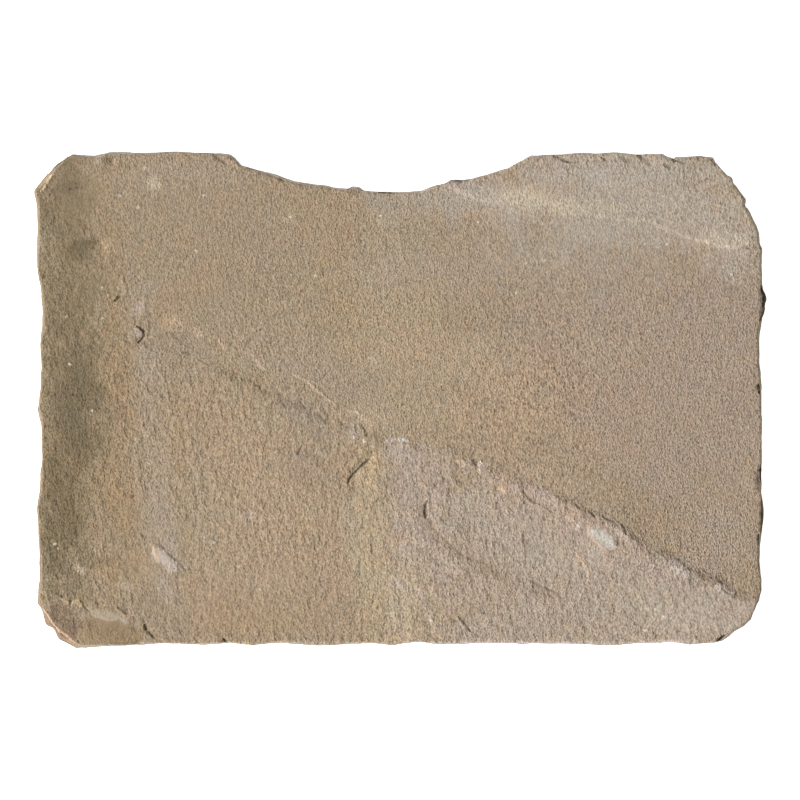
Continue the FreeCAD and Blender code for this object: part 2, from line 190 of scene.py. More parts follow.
# The marks on the walking face. Each is a line that narrows to its ends: (colour, share of the colour,
# height in mm, half width in pixels at its middle, and the line's points in pixels as x, y, x, y and so on)
MARKS = (
    # The shallow ledge below the step, and the hollow inside it; the dark curve along the ledge's scarp is
    # painted shade
    (GREY, 0.15, -0.9, 26, 446, 506, 480, 524, 520, 542, 560, 556),
    (DIRT_AND_SHADE, 0.16, -1.2, 5.5, 421, 492, 424, 510, 431, 530, 446, 548, 478, 566, 520, 584, 560, 596),
    (DIRT_AND_SHADE, 0.4, -0.5, 1.1, 433, 526, 441, 536, 454, 548, 468, 559, 484, 563, 500, 568),
    (DIRT_AND_SHADE, 0.6, -0.7, 1.1, 526, 579, 533, 582, 542, 587, 552, 591, 561, 594.5),
    (PEACH, 0.6, 0.6, 1, 573, 550, 579, 557, 584, 563, 588, 570, 589, 578, 586, 586, 580, 597),
    (LILAC, 0.4, 0.2, 3.6, 392, 581, 399, 583.4, 406, 584),
    (LILAC, 0.35, 0.2, 3.4, 415, 588, 421, 599, 427, 611, 433, 623),
    (LILAC, 0.4, 0.2, 3.2, 414, 526, 420, 538, 425, 546),
    (LILAC, 0.3, 0.2, 3, 398, 549, 405, 546, 412, 544),
    # The raised rubbly band along the step, and the flakes on it; the dark lines to the right of the flakes
    # are painted shadow
    (PINK, 0.2, 0.8, 9, 470, 466, 500, 484, 540, 500, 580, 520, 620, 540, 655, 560),
    (PINK, 0.35, 0.5, 4, 503, 478, 505, 482, 503, 490),
    (LILAC, 0.45, 0.4, 4, 511, 484, 514, 489, 516, 495),
    (GREY_WHITE, 0.75, 0.9, 5.5, 592, 531, 600, 535, 608, 540, 613, 545),
    (GREY_WHITE, 0.45, 0.2, 4.5, 588, 529, 597, 536, 606, 544, 616, 547),
    (GREY, 0.5, -0.2, 2, 595, 537, 600, 541, 606, 546),
    (DIRT_AND_SHADE, 0.35, -0.4, 0.9, 607, 527, 609, 533, 613, 536),
    (PEACH, 0.75, 0.5, 0.8, 589, 525, 589, 532, 591, 537, 596, 542, 602, 547, 609, 552),
    (SOIL_AND_SHADOW, 0.65, -1, 0.9, 619.5, 536, 618.5, 540, 619, 542, 617, 546),
    (DIRT_AND_SHADE, 0.5, -0.6, 0.9, 613, 550, 614, 554),
    (DIRT_AND_SHADE, 0.4, -0.5, 0.9, 619, 549, 621, 555),
    (DIRT_AND_SHADE, 0.4, -0.5, 0.9, 624, 542, 624, 547),
    (LILAC, 0.4, 0.3, 4.5, 620, 531, 623, 536, 626, 542),
    (LILAC, 0.45, 0.9, 7, 669, 562, 677, 566, 684, 571, 690, 577),
    (LILAC, 0.6, 0.3, 3, 679, 568, 684, 571, 687, 576),
    (PINK, 0.5, 0.3, 2.5, 666, 567, 670, 572),
    (LILAC, 0.6, 0.7, 4.5, 715, 586, 721, 588, 728, 591, 735, 596),
    (WHITE, 0.35, 0.2, 1.8, 717, 588, 723, 590),
    (PEACH, 0.45, 0.2, 1.5, 700, 587, 703, 590),
    (PEACH, 0.45, 0.2, 1.5, 711, 587, 713, 591),
    (PALE_PINK, 0.9, 0.6, 2.1, 481, 461, 480.6, 464, 480, 468, 479.4, 473),
    (PEACH, 0.6, 0.3, 2.8, 460, 457, 462, 462, 464, 467),
    (LILAC, 0.5, 0.2, 3, 468, 459, 470, 463, 472, 468),
    (LILAC, 0.45, 0.2, 3.4, 484, 463, 486, 468, 490, 472),
    (PINK, 0.4, 0.3, 3, 494, 470, 499, 475, 504, 480),
    (PEACH, 0.6, 0.3, 1.5, 499, 487, 503, 490, 507, 494),
    (PEACH, 0.35, 0.3, 1.6, 566, 513, 570, 518, 574, 521),
    (WHITE, 0.8, 0.4, 1.2, 575, 522, 578, 525, 580, 528),
    (LILAC, 0.5, 0.2, 2.4, 577, 527, 579, 532),
    (PINK, 0.35, 0.3, 6, 540, 492, 556, 500, 572, 510, 584, 518),
    (LILAC, 0.3, 0.2, 5, 532, 486, 548, 497, 562, 506),
    (GREY, 0.4, 0.2, 4, 604, 519, 612, 524, 620, 530),
    (PEACH, 0.4, 0.2, 0.9, 512, 534, 515, 538),
    # The dark breaks along the step: painted shadow under the upper bed's edge, over grooves in the relief
    # and along with dirt; the wide dark bands below the lip are painted shade
    (SOIL_AND_SHADOW, 0.6, -1.3, 1.3, 588.5, 510, 591, 512, 595.5, 517.5),
    (SOIL_AND_SHADOW, 0.5, -1, 0.9, 602, 514, 605, 518.5, 613.5, 521.5, 620, 527.5),
    (SOIL_AND_SHADOW, 0.75, -1.5, 1.4, 622, 524, 624.5, 529, 626.5, 534.5),
    (SOIL_AND_SHADOW, 0.65, -1.2, 1.1, 630, 533, 632, 536, 634.5, 540),
    (DIRT_AND_SHADE, 0.55, -0.7, 0.8, 642.5, 539, 645, 542, 647, 545.5),
    (DIRT_AND_SHADE, 0.3, -0.4, 0.9, 648, 548, 652, 553, 656, 558),
    (BROWN, 0.4, -0.3, 3, 662, 547, 668, 552, 675, 556),
    (DIRT_AND_SHADE, 0.6, -0.9, 1.1, 677, 558.5, 682, 562, 686, 565.5),
    (SOIL_AND_SHADOW, 0.5, -0.9, 1.1, 688, 567.5, 690.5, 569.5, 693, 570.5),
    (DIRT_AND_SHADE, 0.5, -0.6, 0.9, 691, 571, 690.5, 577, 690, 583),
    (BROWN, 0.4, 0.2, 3.4, 695, 571, 701, 576, 708, 582),
    (DIRT_AND_SHADE, 0.45, -0.5, 0.8, 693, 578, 697, 582, 703, 586),
    (DIRT_AND_SHADE, 0.45, -0.5, 0.9, 702, 569, 707, 573, 712, 578),
    (DIRT_AND_SHADE, 0.6, -0.5, 0.9, 716.5, 575, 716.2, 580, 715.6, 585),
    (SOIL_AND_SHADOW, 0.45, -1.1, 1.2, 717.5, 579.5, 721, 582, 725, 585),
    (SOIL_AND_SHADOW, 0.5, -1, 1.1, 726, 585, 729, 588, 731.5, 591),
    (SOIL_AND_SHADOW, 0.5, -1, 1, 736.8, 592, 736, 596, 734.6, 600),
    (DIRT_AND_SHADE, 0.5, -0.5, 1, 745, 592, 750, 593.5),
    (DIRT_AND_SHADE, 0.6, -0.5, 1, 754, 596, 757, 600),
    (DIRT_AND_SHADE, 0.5, -0.5, 1.2, 520.5, 478, 522.5, 483, 523.5, 488),
    (DIRT_AND_SHADE, 0.75, -0.9, 1.1, 522, 489, 525, 494, 529, 498, 534, 502, 538, 504),
    (DIRT_AND_SHADE, 0.6, -0.8, 1, 538, 504, 543, 506, 548, 509, 553, 512.5),
    (DIRT_AND_SHADE, 0.35, -0.4, 0.9, 553, 512, 557, 515, 561, 519),
    (DIRT_AND_SHADE, 0.4, -0.5, 1.2, 526, 480, 530, 483, 534, 486),
    (DIRT_AND_SHADE, 0.4, -0.4, 1.1, 543, 482, 546, 485, 549, 490),
    (DIRT_AND_SHADE, 0.5, -0.6, 1, 556, 499, 558, 496.5, 560, 495),
    (DIRT_AND_SHADE, 0.5, -0.6, 1.2, 564, 499.5, 567, 501, 570, 503),
    (DIRT_AND_SHADE, 0.55, -0.8, 1.4, 574, 502.5, 577, 505, 581, 508.5),
    (SOIL_AND_SHADOW, 0.5, -1.2, 1.8, 472.5, 458, 474.5, 462, 476.5, 465.5),
    (DIRT_AND_SHADE, 0.6, -0.6, 1.3, 488, 466.5, 489.5, 470),
    (DIRT_AND_SHADE, 0.7, -0.7, 1.3, 491.5, 470, 493, 473),
    (DIRT_AND_SHADE, 0.5, -0.5, 0.8, 522, 498, 524, 501, 525, 504.5),
    (DIRT_AND_SHADE, 0.4, -0.3, 0.8, 508.5, 494, 508, 501.5),
    (DIRT_AND_SHADE, 0.3, -0.4, 0.8, 497, 503, 500, 510, 502, 515),
    (DIRT_AND_SHADE, 0.6, -0.5, 0.8, 449, 445, 452.5, 448.5, 456, 447),
    (SOIL_AND_SHADOW, 0.45, -1, 1.1, 361.5, 424, 363, 426.5, 364, 429),
    (SOIL_AND_SHADOW, 0.45, -1, 1.2, 364.5, 429, 366, 433, 367.5, 436),
    (SOIL_AND_SHADOW, 0.4, -0.9, 1, 338.5, 418, 341, 422.5, 345, 426.5),
    (DIRT_AND_SHADE, 0.55, -0.6, 1, 345, 426, 348.5, 428, 352, 429.5),
    (DIRT_AND_SHADE, 0.5, -0.8, 1.3, 320, 414.5, 323, 419, 325.5, 423),
    (DIRT_AND_SHADE, 0.4, -0.4, 0.9, 322.5, 427, 320.5, 432),
    (SOIL_AND_SHADOW, 0.7, -0.9, 0.7, 299.5, 400.5, 302.5, 405, 305.5, 409.5),
    (DIRT_AND_SHADE, 0.55, -0.7, 0.9, 279.5, 391, 279.5, 398, 282, 403, 286, 407),
    (DIRT_AND_SHADE, 0.2, -0.5, 3, 262, 388, 284, 398, 306, 410, 330, 424),
    (SOIL_AND_SHADOW, 0.6, -0.8, 0.8, 250, 377, 250.5, 380.5, 254, 381.5, 255.5, 385, 259, 386, 261, 389.5),
    (DIRT_AND_SHADE, 0.4, -0.5, 1.1, 258.5, 387, 262, 391, 266, 394),
    (DIRT_AND_SHADE, 0.45, -0.6, 1.1, 233.5, 371, 236, 376, 238, 381),
    (DIRT_AND_SHADE, 0.5, -0.6, 1.1, 226, 367.5, 227.2, 374),
    (DIRT_AND_SHADE, 0.7, -0.8, 0.9, 196.5, 358, 200, 360.5, 205, 363, 211, 366.5),
    (SOIL_AND_SHADOW, 0.5, -0.9, 1, 181, 350, 184, 353, 187, 352, 191, 355),
    (DIRT_AND_SHADE, 0.18, -0.4, 3.2, 214, 364, 232, 376, 246, 382),
    (DIRT_AND_SHADE, 0.5, -0.4, 0.9, 166.5, 332, 169, 340),
    (DIRT_AND_SHADE, 0.65, -0.6, 0.8, 163, 312, 161, 315, 159, 318),
    (DIRT_AND_SHADE, 0.35, -0.4, 1.1, 142, 317, 149, 316, 153.5, 313),
    (DIRT_AND_SHADE, 0.35, -0.4, 1.1, 148.5, 324, 149, 336),
    # The worn lip above the step; its pale edge, where it faces the light, is a painted highlight
    (PEACH, 0.75, 0.5, 1.1, 218, 339.5, 221.5, 344, 225.5, 350.5),
    (LIP_HIGHLIGHT, 0.6, 0.35, 1.1, 239, 349.5, 246, 352, 253, 355.5),
    (LIP_HIGHLIGHT, 0.6, 0.35, 1.2, 253, 355, 256, 360, 260, 366, 268, 371.5),
    (LIP_HIGHLIGHT, 0.5, 0.35, 1, 291, 373, 303, 379, 311, 384.5),
    (LIP_HIGHLIGHT, 0.65, 0.35, 1, 309, 383, 317, 390, 324, 396),
    (LIP_HIGHLIGHT, 0.6, 0.35, 1, 322, 394, 329, 400, 336, 405),
    (LIP_HIGHLIGHT, 0.3, 0.3, 3, 304, 379, 318, 391),
    (LIP_HIGHLIGHT, 0.6, 0.4, 1.1, 346, 410, 353, 411, 360, 413.5),
    (LIP_HIGHLIGHT, 0.65, 0.4, 1.2, 358, 412, 364, 417.5, 370, 422),
    (LIP_HIGHLIGHT, 0.6, 0.5, 3.2, 194, 326, 198, 331, 203, 337),
    (OCHRE, 0.7, 0.4, 1.8, 369, 420, 371.5, 425, 371, 430),
    (GREY, 0.4, 0.2, 7, 345, 427, 350, 432, 356, 436),
    (LILAC, 0.45, 0.2, 3, 349, 428, 354, 431, 359, 435),
    (WHITE, 0.8, 0.3, 1.3, 353, 436, 355.5, 438.5),
    (WHITE, 0.95, 0.5, 1.3, 363, 439, 365.5, 442.5),
    (WHITE, 0.6, 0.3, 1.1, 371.8, 445.5, 374, 447.5),
    (LILAC, 0.3, 0.2, 9, 384, 448, 396, 450, 408, 454),
    (LILAC, 0.6, 0.3, 2, 385, 442, 388.5, 440.5, 393, 440),
    (WHITE, 0.6, 0.3, 1.2, 391, 440, 395, 439.4, 400, 439.2),
    (GREY_WHITE, 1, 0.5, 1.5, 398, 439.4, 401.5, 438.8, 405, 439.6, 408.5, 441.4),
    (WHITE, 0.75, 0.3, 1.1, 401, 440, 401.6, 444, 402.6, 448),
    (LILAC, 0.5, 0.2, 1.6, 407, 454, 411, 458, 415, 461),
    (LILAC, 0.4, 0.2, 1.3, 415, 475, 416, 480),
    (WHITE, 0.45, 0.1, 1.8, 368, 356, 374, 361, 381, 368),
    # The gully that runs down from the lip; its dark line is painted shadow along with dirt
    (OCHRE, 0.5, 0.3, 4.4, 374, 449, 374, 460, 371, 474, 371, 490),
    (DIRT_AND_SHADE, 0.25, -0.9, 3, 372, 449, 366, 457, 358, 466, 350, 478),
    (DIRT_AND_SHADE, 0.7, -0.6, 0.8, 372.2, 451, 370.8, 455.5, 368.5, 459.5),
    (SOIL_AND_SHADOW, 0.85, -1, 1, 369.5, 458.5, 365, 462.5, 360.8, 466.4, 357.5, 469.8),
    (SOIL_AND_SHADOW, 0.85, -1, 1, 359, 468, 354.6, 472.6, 351, 476.5, 349, 480, 348.6, 483.5),
    (DIRT_AND_SHADE, 0.35, -0.4, 1.6, 352, 483, 354, 487, 353, 490),
    (DIRT_AND_SHADE, 0.6, -0.4, 0.9, 379, 499, 376, 501, 372.8, 503.5),
    # Cracks and small hollows, their dark colour painted shade along with dirt; the dark crescent beside the
    # bump at the left is painted shadow
    (SOIL_AND_SHADOW, 0.85, -1.4, 1.3, 428, 499.5, 425.5, 505, 424.6, 511, 425.6, 517.5),
    (DIRT_AND_SHADE, 0.5, -0.5, 0.8, 426, 517, 426.5, 523, 429, 530),
    (SOIL_AND_SHADOW, 0.8, -1.2, 0.9, 458, 616, 464, 623, 471, 632),
    (SOIL_AND_SHADOW, 0.5, -0.6, 0.8, 175, 617, 181, 626),
    (DIRT_AND_SHADE, 0.7, -0.6, 0.9, 363, 636, 363, 643),
    (DIRT_AND_SHADE, 0.6, -0.5, 0.8, 371, 542, 372, 550, 371, 559),
    (SOIL_AND_SHADOW, 0.65, -0.9, 0.8, 301.8, 445.5, 299.5, 450, 297, 455),
    (DIRT_AND_SHADE, 0.65, -0.6, 0.8, 449.5, 487, 449, 492, 447.5, 496.5),
    (DIRT_AND_SHADE, 0.55, -0.5, 0.8, 443, 476, 446, 482),
    (DIRT_AND_SHADE, 0.6, -0.5, 1.1, 444.5, 459, 445.5, 463),
    (DIRT_AND_SHADE, 0.5, -0.4, 0.8, 523, 534, 524, 543),
    (DIRT_AND_SHADE, 0.5, -0.4, 0.8, 494.5, 529, 496, 537),
    (LILAC, 0.4, 0.7, 5.5, 134, 329, 136.5, 333, 137, 337),
    (SOIL_AND_SHADOW, 0.8, -0.8, 0.9, 136, 326, 139, 327.4, 141.5, 329),
    (SOIL_AND_SHADOW, 0.95, -1.5, 1.5, 140.4, 327.6, 143.2, 330.9, 143.9, 334.9, 142.4, 338.2),
    (SOIL_AND_SHADOW, 0.9, -1.1, 1, 142.8, 337.4, 140.6, 340.2, 137.8, 342.6),
    (DIRT_AND_SHADE, 0.45, -0.4, 2.4, 143, 341, 146, 344, 148, 348),
    (LILAC, 0.5, 0.2, 4, 135, 305, 138.5, 309, 141, 312),
    (SOIL_AND_SHADOW, 0.8, -1.2, 1.2, 113.8, 301.4, 117, 298.6, 120.6, 295.4),
    (DIRT_AND_SHADE, 0.6, -0.6, 0.8, 630, 617, 636, 626),
    (DIRT_AND_SHADE, 0.6, -0.5, 0.8, 46, 338, 48, 342, 52, 346),
    (DIRT_AND_SHADE, 0.6, -0.5, 0.8, 58, 349, 54, 356, 51, 363, 52, 373),
    (SOIL_AND_SHADOW, 0.8, -2, 1.3, 222.5, 638.5, 225, 640.5, 228, 643),
    (DIRT_AND_SHADE, 0.7, -0.6, 1, 74, 489, 74, 510, 76, 530, 78, 548),
    (DIRT_AND_SHADE, 0.5, -0.4, 0.8, 424, 545, 429, 553, 436, 563),
    (DIRT_AND_SHADE, 0.45, -0.4, 0.8, 493, 570, 497, 578),
    (DIRT_AND_SHADE, 0.4, -0.4, 0.9, 467, 570, 471, 576, 475, 582),
    # The pale patches
    (GREY, 0.5, -0.5, 4, 158, 543, 170, 552, 180, 562, 188, 572),
    (PALE_LILAC, 0.85, 0.5, 5, 153, 549, 161, 556, 169, 564, 177, 571),
    (PEACH, 0.8, 0.4, 2, 153, 544, 154.5, 550, 157, 557, 160, 564),
    (SOIL_AND_SHADOW, 0.4, -0.8, 1.3, 160, 545, 163, 548, 165, 549),
    (SOIL_AND_SHADOW, 0.5, -0.9, 1.2, 167, 552, 171, 556, 175, 560, 181, 561),
    (SOIL_AND_SHADOW, 0.45, -0.8, 1.2, 178, 563, 182, 566, 186, 571),
    (DIRT_AND_SHADE, 0.6, -0.6, 0.9, 141, 532, 144, 539),
    (LILAC, 0.25, 0.2, 8, 160, 580, 168, 592, 172, 604),
    (LILAC, 0.3, 0.2, 5, 236, 515, 246, 516, 256, 515),
    (CREAM, 0.4, 0.1, 3.6, 118, 583, 128, 587, 134, 589),
    (CREAM, 0.45, 0.1, 3, 74, 566, 80, 568, 85, 574),
    (CREAM, 0.3, 0.1, 3.6, 282, 218, 288, 220, 294, 214),
    (CREAM, 0.5, 0.2, 6, 149, 178, 154, 183, 159, 189),
    (WHITE, 0.3, 0.2, 2.6, 144, 166, 146, 170),
    (CREAM, 0.3, 0.1, 3.6, 94, 158, 97, 161, 100, 164),
    (OCHRE, 0.45, 0.2, 4.4, 103, 238, 106, 243, 108, 249),
    # The pale band, and the cream line along it: painted highlight on the lit edge of the higher bed at the
    # back
    (PALE_PINK, 0.35, 0.2, 2.4, 444, 185.5, 454, 188, 464, 192, 476, 199),
    (WHITE, 0.25, 0.1, 2.6, 474, 198, 486, 203, 500, 202),
    (CREAM, 0.28, 0.1, 7.5, 500, 193, 524, 197, 549, 204, 584, 211),
    (CREAM, 0.25, 0.1, 1.9, 594, 214, 603, 217, 618, 219, 634, 220),
    (CREAM, 0.25, 0.1, 1.7, 628, 220, 642, 220, 652, 221, 658, 224.5),
    (CREAM, 0.4, 0.2, 1.6, 652, 221, 657, 224.5, 664, 228.5, 674, 230.5),
    (CREAM, 0.4, 0.2, 1.6, 670, 229.5, 680, 233.5, 690, 238, 700, 241),
    (CREAM, 0.42, 0.15, 1.8, 694, 239.5, 708, 241.5, 718, 245, 730, 247),
    (CREAM, 0.42, 0.15, 1.9, 724, 246.5, 736, 247.5, 744, 245, 749, 241),
    (CREAM, 0.2, 0.1, 7, 700, 234, 722, 239, 750, 240),
    (WHITE, 0.7, 0.3, 1.3, 706.5, 240, 709, 243.5),
    (WHITE, 0.3, 0.2, 2, 729, 245.5, 735, 247),
    (WHITE, 0.2, 0.1, 2.5, 492, 200, 504, 203),
    (DIRT_AND_SHADE, 0.35, -0.3, 2, 752, 247, 757, 247.5, 761, 247),
    (PINK, 0.45, 0.5, 5, 174, 316, 179, 322, 182, 330),
    (OCHRE, 0.35, 0.5, 7, 160, 318, 172, 322, 176, 330),
    (PINK, 0.3, 0.4, 4, 202, 372, 206, 377),
    # The spall on the corner, with its broken lip
    (FRESH_BROWN, 0.75, -0.3, 11, 82, 622, 100, 631, 124, 635, 142, 640),
    (FRESH_BROWN, 0.5, -0.2, 7, 112, 628, 126, 632, 142, 637),
    (DARK_BROWN, 0.8, -0.6, 12, 54, 606, 62, 619, 74, 637),
    (PALE_LICHEN, 0.75, 0.3, 3.8, 86, 608, 94, 612, 104, 615, 119, 616),
    (LILAC, 0.5, 0.2, 1.5, 92, 615, 101, 617.5, 110, 621),
    (LILAC, 0.45, 0.2, 1.3, 109, 621, 116.6, 619, 121, 615),
    (LILAC, 0.6, 0.3, 2, 120, 618, 124, 621, 129, 623.5),
    (LILAC, 0.5, 0.2, 1.3, 132, 624.5, 139, 624.5),
    (PEACH, 0.25, 0.3, 1.1, 58, 598, 64, 600, 70, 604),
    (OCHRE, 0.5, 0.4, 2.6, 74, 600, 78, 603, 82, 607),
    (OCHRE, 0.4, 0.3, 1.2, 84, 604, 88, 609, 91, 613),
    (PEACH, 0.25, 0.3, 1.1, 90, 604, 98, 603, 110, 607),
    (OCHRE, 0.3, 0.3, 1.6, 118, 611, 124, 616, 129, 621),
    (SOIL_AND_SHADOW, 0.7, -0.8, 0.9, 56, 593, 59.5, 595, 63, 597.3),
    (SOIL_AND_SHADOW, 0.75, -0.9, 1, 70, 599.5, 70.9, 603, 69.6, 606.5),
    (OCHRE, 0.5, 0.3, 0.9, 73.5, 601, 72, 603.5, 70.8, 606.5),
    (SOIL_AND_SHADOW, 0.7, -0.9, 1, 80.5, 600.5, 83, 602.6, 83.6, 605.5),
    (SOIL_AND_SHADOW, 0.6, -0.9, 0.9, 83.4, 605, 85.5, 608, 88, 610.5, 91, 612.5),
    (DIRT_AND_SHADE, 0.6, -0.6, 1.3, 96, 602, 98.5, 606),
    (SOIL_AND_SHADOW, 0.65, -0.7, 0.9, 117, 607, 121, 610, 124, 612.4, 127.5, 614.6),
    (DIRT_AND_SHADE, 0.5, -0.5, 0.8, 133, 616, 134.5, 619, 135.5, 622),
    (DIRT_AND_SHADE, 0.5, -0.4, 0.8, 141, 597, 142, 600, 143, 602),
    (DIRT_AND_SHADE, 0.5, -0.4, 0.8, 125.5, 599, 128.5, 603),
    (SOIL_AND_SHADOW, 0.55, -1, 0.8, 143.2, 619.5, 144.2, 622, 145.2, 625),
    (SOIL_AND_SHADOW, 0.9, -2, 1.4, 144.6, 624, 145.4, 627.5, 146.6, 631),
    (SOIL_AND_SHADOW, 0.85, -1.6, 1, 146.4, 630.4, 149.6, 633.4, 152.6, 636.4, 154.6, 639),
    (DIRT_AND_SHADE, 0.5, -0.6, 1, 154, 638.5, 158, 640),
    (OLIVE, 0.4, -0.2, 0.9, 104, 644.2, 118, 643.6, 134, 642.6),
    # The pale arris along the front, a painted highlight where the arris catches the light
    (
        PALE_LILAC, 0.55, 0.1, 1.4, 404, 643, 450, 642.6, 500, 641.8, 560, 642, 620, 643, 660, 641.6,
        702, 641.2,
    ),
    (CREAM, 0.3, 0.1, 1.3, 158, 642.8, 230, 643.2, 300, 642.6, 370, 643, 420, 642),
    # Stains on the left end
    (DIRT_AND_SHADE, 0.38, -0.1, 3.4, 70, 248, 82, 244, 92, 242, 103, 238.5),
    (DIRT_AND_SHADE, 0.2, -0.1, 4, 68, 257, 78, 258, 90, 256),
    (BROWN, 0.25, -0.1, 3.4, 64, 190, 76, 187, 86, 186),
    # The fresh broken corners at the left end. The bright lines along their arrises are painted highlight on
    # the fresh stone, and the dark line just inside the upper one is painted shadow
    (DIRT_AND_SHADE, 0.9, 0, 3.4, 55, 168, 63, 161.5, 72, 155.5),
    (OCHRE, 0.45, 0, 1.6, 39, 190, 44, 182.5, 50, 174),
    (FRESH_CREAM_HIGHLIGHT, 0.85, 0.5, 1, 39.6, 191.8, 43.9, 188, 48, 181, 52.2, 173.8),
    (OCHRE, 0.4, 0.2, 0.8, 52, 172.5, 58, 165.5, 63, 161),
    (DIRT_AND_SHADE, 0.4, -0.4, 1.6, 46, 189, 51, 181, 56, 174),
    (FACET_BROWN, 0.85, 0, 2.2, 43, 615, 46, 621, 50, 627.5),
    (FACET_BROWN, 0.9, 0, 2.4, 54, 630, 59.5, 636, 66, 641.5),
    (FACET_BROWN, 0.4, 0, 2, 66, 641, 72, 645),
    (FRESH_PEACH_HIGHLIGHT, 0.9, 0.5, 1.1, 43, 609, 47.5, 616.4, 51.5, 622, 55.4, 627.5),
    (FRESH_PEACH_HIGHLIGHT, 0.9, 0.5, 1.1, 54, 626, 59, 631, 65.4, 635, 72.6, 641, 78, 645.4),
    (SOIL_AND_SHADOW, 0.5, -0.6, 1, 77.5, 640.5, 79, 643.5),
    # Dark lumps and chips along the rim: painted shade in the chips and on the sides that face away from the
    # light, along with dark dirt
    (SOIL_AND_SHADOW, 0.9, -5, 1.9, 761.5, 286, 764, 296, 764, 312, 760.5, 321),
    (SOIL_AND_SHADOW, 0.8, -3, 1.1, 759.5, 384, 759.5, 394),
    (SOIL_AND_SHADOW, 0.9, -5, 1.5, 762, 464, 761, 472, 762, 482),
    (GREY, 0.6, -1.5, 1.2, 758, 470, 757, 477, 758, 484),
    (SOIL_AND_SHADOW, 0.9, -4, 1.5, 762, 500, 763, 512, 762.5, 524, 762, 536),
    (SOIL_AND_SHADOW, 0.7, -2, 1, 759, 534, 759, 546),
    (SOIL_AND_SHADOW, 0.85, -3, 1.6, 347, 188.5, 356, 186.5, 366, 189),
    (SOIL_AND_SHADOW, 0.8, -2.5, 1, 378, 192, 385, 192.5, 393, 193),
    (SOIL_AND_SHADOW, 0.8, -2, 1.5, 447, 181, 454, 179.8, 462, 181.5),
    (SOIL_AND_SHADOW, 0.5, -2, 1, 278, 177, 281, 179, 285, 181),
    (SOIL_AND_SHADOW, 0.8, -3, 1.2, 717, 641, 721, 638.5, 726, 635),
    (SOIL_AND_SHADOW, 0.6, -1.6, 1.2, 553, 155, 558, 157, 564, 160.5, 569, 162),
    (DIRT_AND_SHADE, 0.6, -0.7, 1, 567, 161.5, 573, 162.5, 580, 161.5),
    (SOIL_AND_SHADOW, 0.5, -1.5, 1, 601, 157, 606, 160),
    (DIRT_AND_SHADE, 0.45, -0.6, 2.6, 621, 157, 626, 160, 631, 162),
    (SOIL_AND_SHADOW, 0.7, -1.6, 1.8, 638, 154.5, 641, 157, 644, 159.5),
    (DIRT_AND_SHADE, 0.6, -0.8, 1.6, 644, 159, 647.5, 162, 651, 165.5),
    (DIRT_AND_SHADE, 0.6, -0.9, 1.8, 664, 163, 667, 165.5, 671, 167.5),
    (SOIL_AND_SHADOW, 0.8, -1.8, 1.2, 672.5, 158.5, 674.5, 161, 677, 160.5),
    (DIRT_AND_SHADE, 0.6, -0.8, 1.8, 677, 160.5, 682, 162, 686.5, 164.5),
    (SOIL_AND_SHADOW, 0.5, -0.8, 1, 697.5, 157, 699, 160),
    (GREY, 0.5, 0.1, 3, 697, 161, 704, 163),
    (SOIL_AND_SHADOW, 0.5, -1, 1, 710, 158, 713, 161, 716, 166),
    (PINK, 0.6, 0.3, 2.4, 568, 160, 575, 158, 582, 158),
    (PINK, 0.6, 0.3, 2, 588, 157, 596, 158, 603, 156),
    (PINK, 0.6, 0.3, 2, 649, 155, 655, 160, 658, 165),
    (OLIVE, 0.7, -0.8, 4.4, 103, 157.5, 108, 159, 113, 161.5),
    (PINK, 0.5, 0.2, 2.6, 113, 159, 119, 162),
    (SOIL_AND_SHADOW, 0.4, -1.2, 1.6, 213, 155, 220, 159, 227, 164),
    (PINK, 0.6, 0.3, 2.6, 226, 160, 232, 163, 238, 168),
)

# Where the rim stands out: (x, y and radius in pixels, how far in mm)
RIM_LUMPS = (
    (356, 188, 9, 3.6), (764, 297, 8, 1.3), (764, 311, 7, 0.9), (454, 181, 8, 1.3), (325, 186, 7, 1.2),
    (674, 156, 5, 1.5),
)

# Small crooked marks: white specks and dark pits, whose dark colour is painted shade along with soil, as (x,
# y, radius), all in pixels
WHITE_SPECKS = (
    (120, 195, 1.4), (138, 207, 1.3), (145, 168, 1.2), (196, 250, 1.6), (290, 217, 1.3), (316, 275, 1.5),
    (381, 215, 1.3), (371, 357, 1.3), (389, 347, 1.3), (478, 222, 1.3), (516, 293, 1.4), (526, 263, 1.4),
    (545, 260, 1.3), (645, 244, 1.2), (658, 247, 1.3), (667, 244, 1.2), (732, 274, 1.3), (66, 316, 1.2),
    (102, 287, 1.2), (102, 318, 1.4), (108, 295, 1.1), (70, 364, 1.6), (92, 410, 1.5), (55, 544.5, 1.4),
    (57.8, 548.8, 1.0), (431, 621, 1.3), (536, 638, 1.3), (648.5, 609, 2.3), (663, 617.5, 2.3),
    (671, 618.5, 1.2), (654, 566, 1.2), (645.5, 630, 1.6), (650.5, 631, 1.3), (78, 571, 1.1),
    (238, 566, 1.6), (214, 543, 1.5), (260, 589, 1.5), (203.5, 195.5, 1.3), (656, 610, 1.4),
    (364, 441, 1.3),
)
DARK_PITS = (
    (748, 248, 1.5), (55, 395, 1.2), (73, 395, 1.2), (96, 409, 1.2), (86, 400, 1.1), (53, 414, 1.2),
    (69, 416, 1.1), (50, 194, 1.3), (423, 611, 1.2), (328, 635, 1.3), (343, 638, 1.2), (285, 610, 1.1),
    (648.5, 636.5, 1.3), (653.5, 633, 1.1), (690.5, 638.5, 1.3), (697, 638, 1.2), (489.5, 503, 1.4),
    (496.5, 502, 1.3), (524, 503.5, 1.3), (442, 471, 1.1), (134, 496, 1.3), (730.6, 601.5, 1.2),
    (71, 189, 1.3), (78, 187, 1.2), (752, 536, 1.2), (391.5, 493.5, 1.2), (480.5, 493, 1.1), (97, 604, 1.1),
    (98, 607, 1.1), (106, 607, 1.1), (339, 444, 1.2), (367.5, 508.5, 1.3),
)

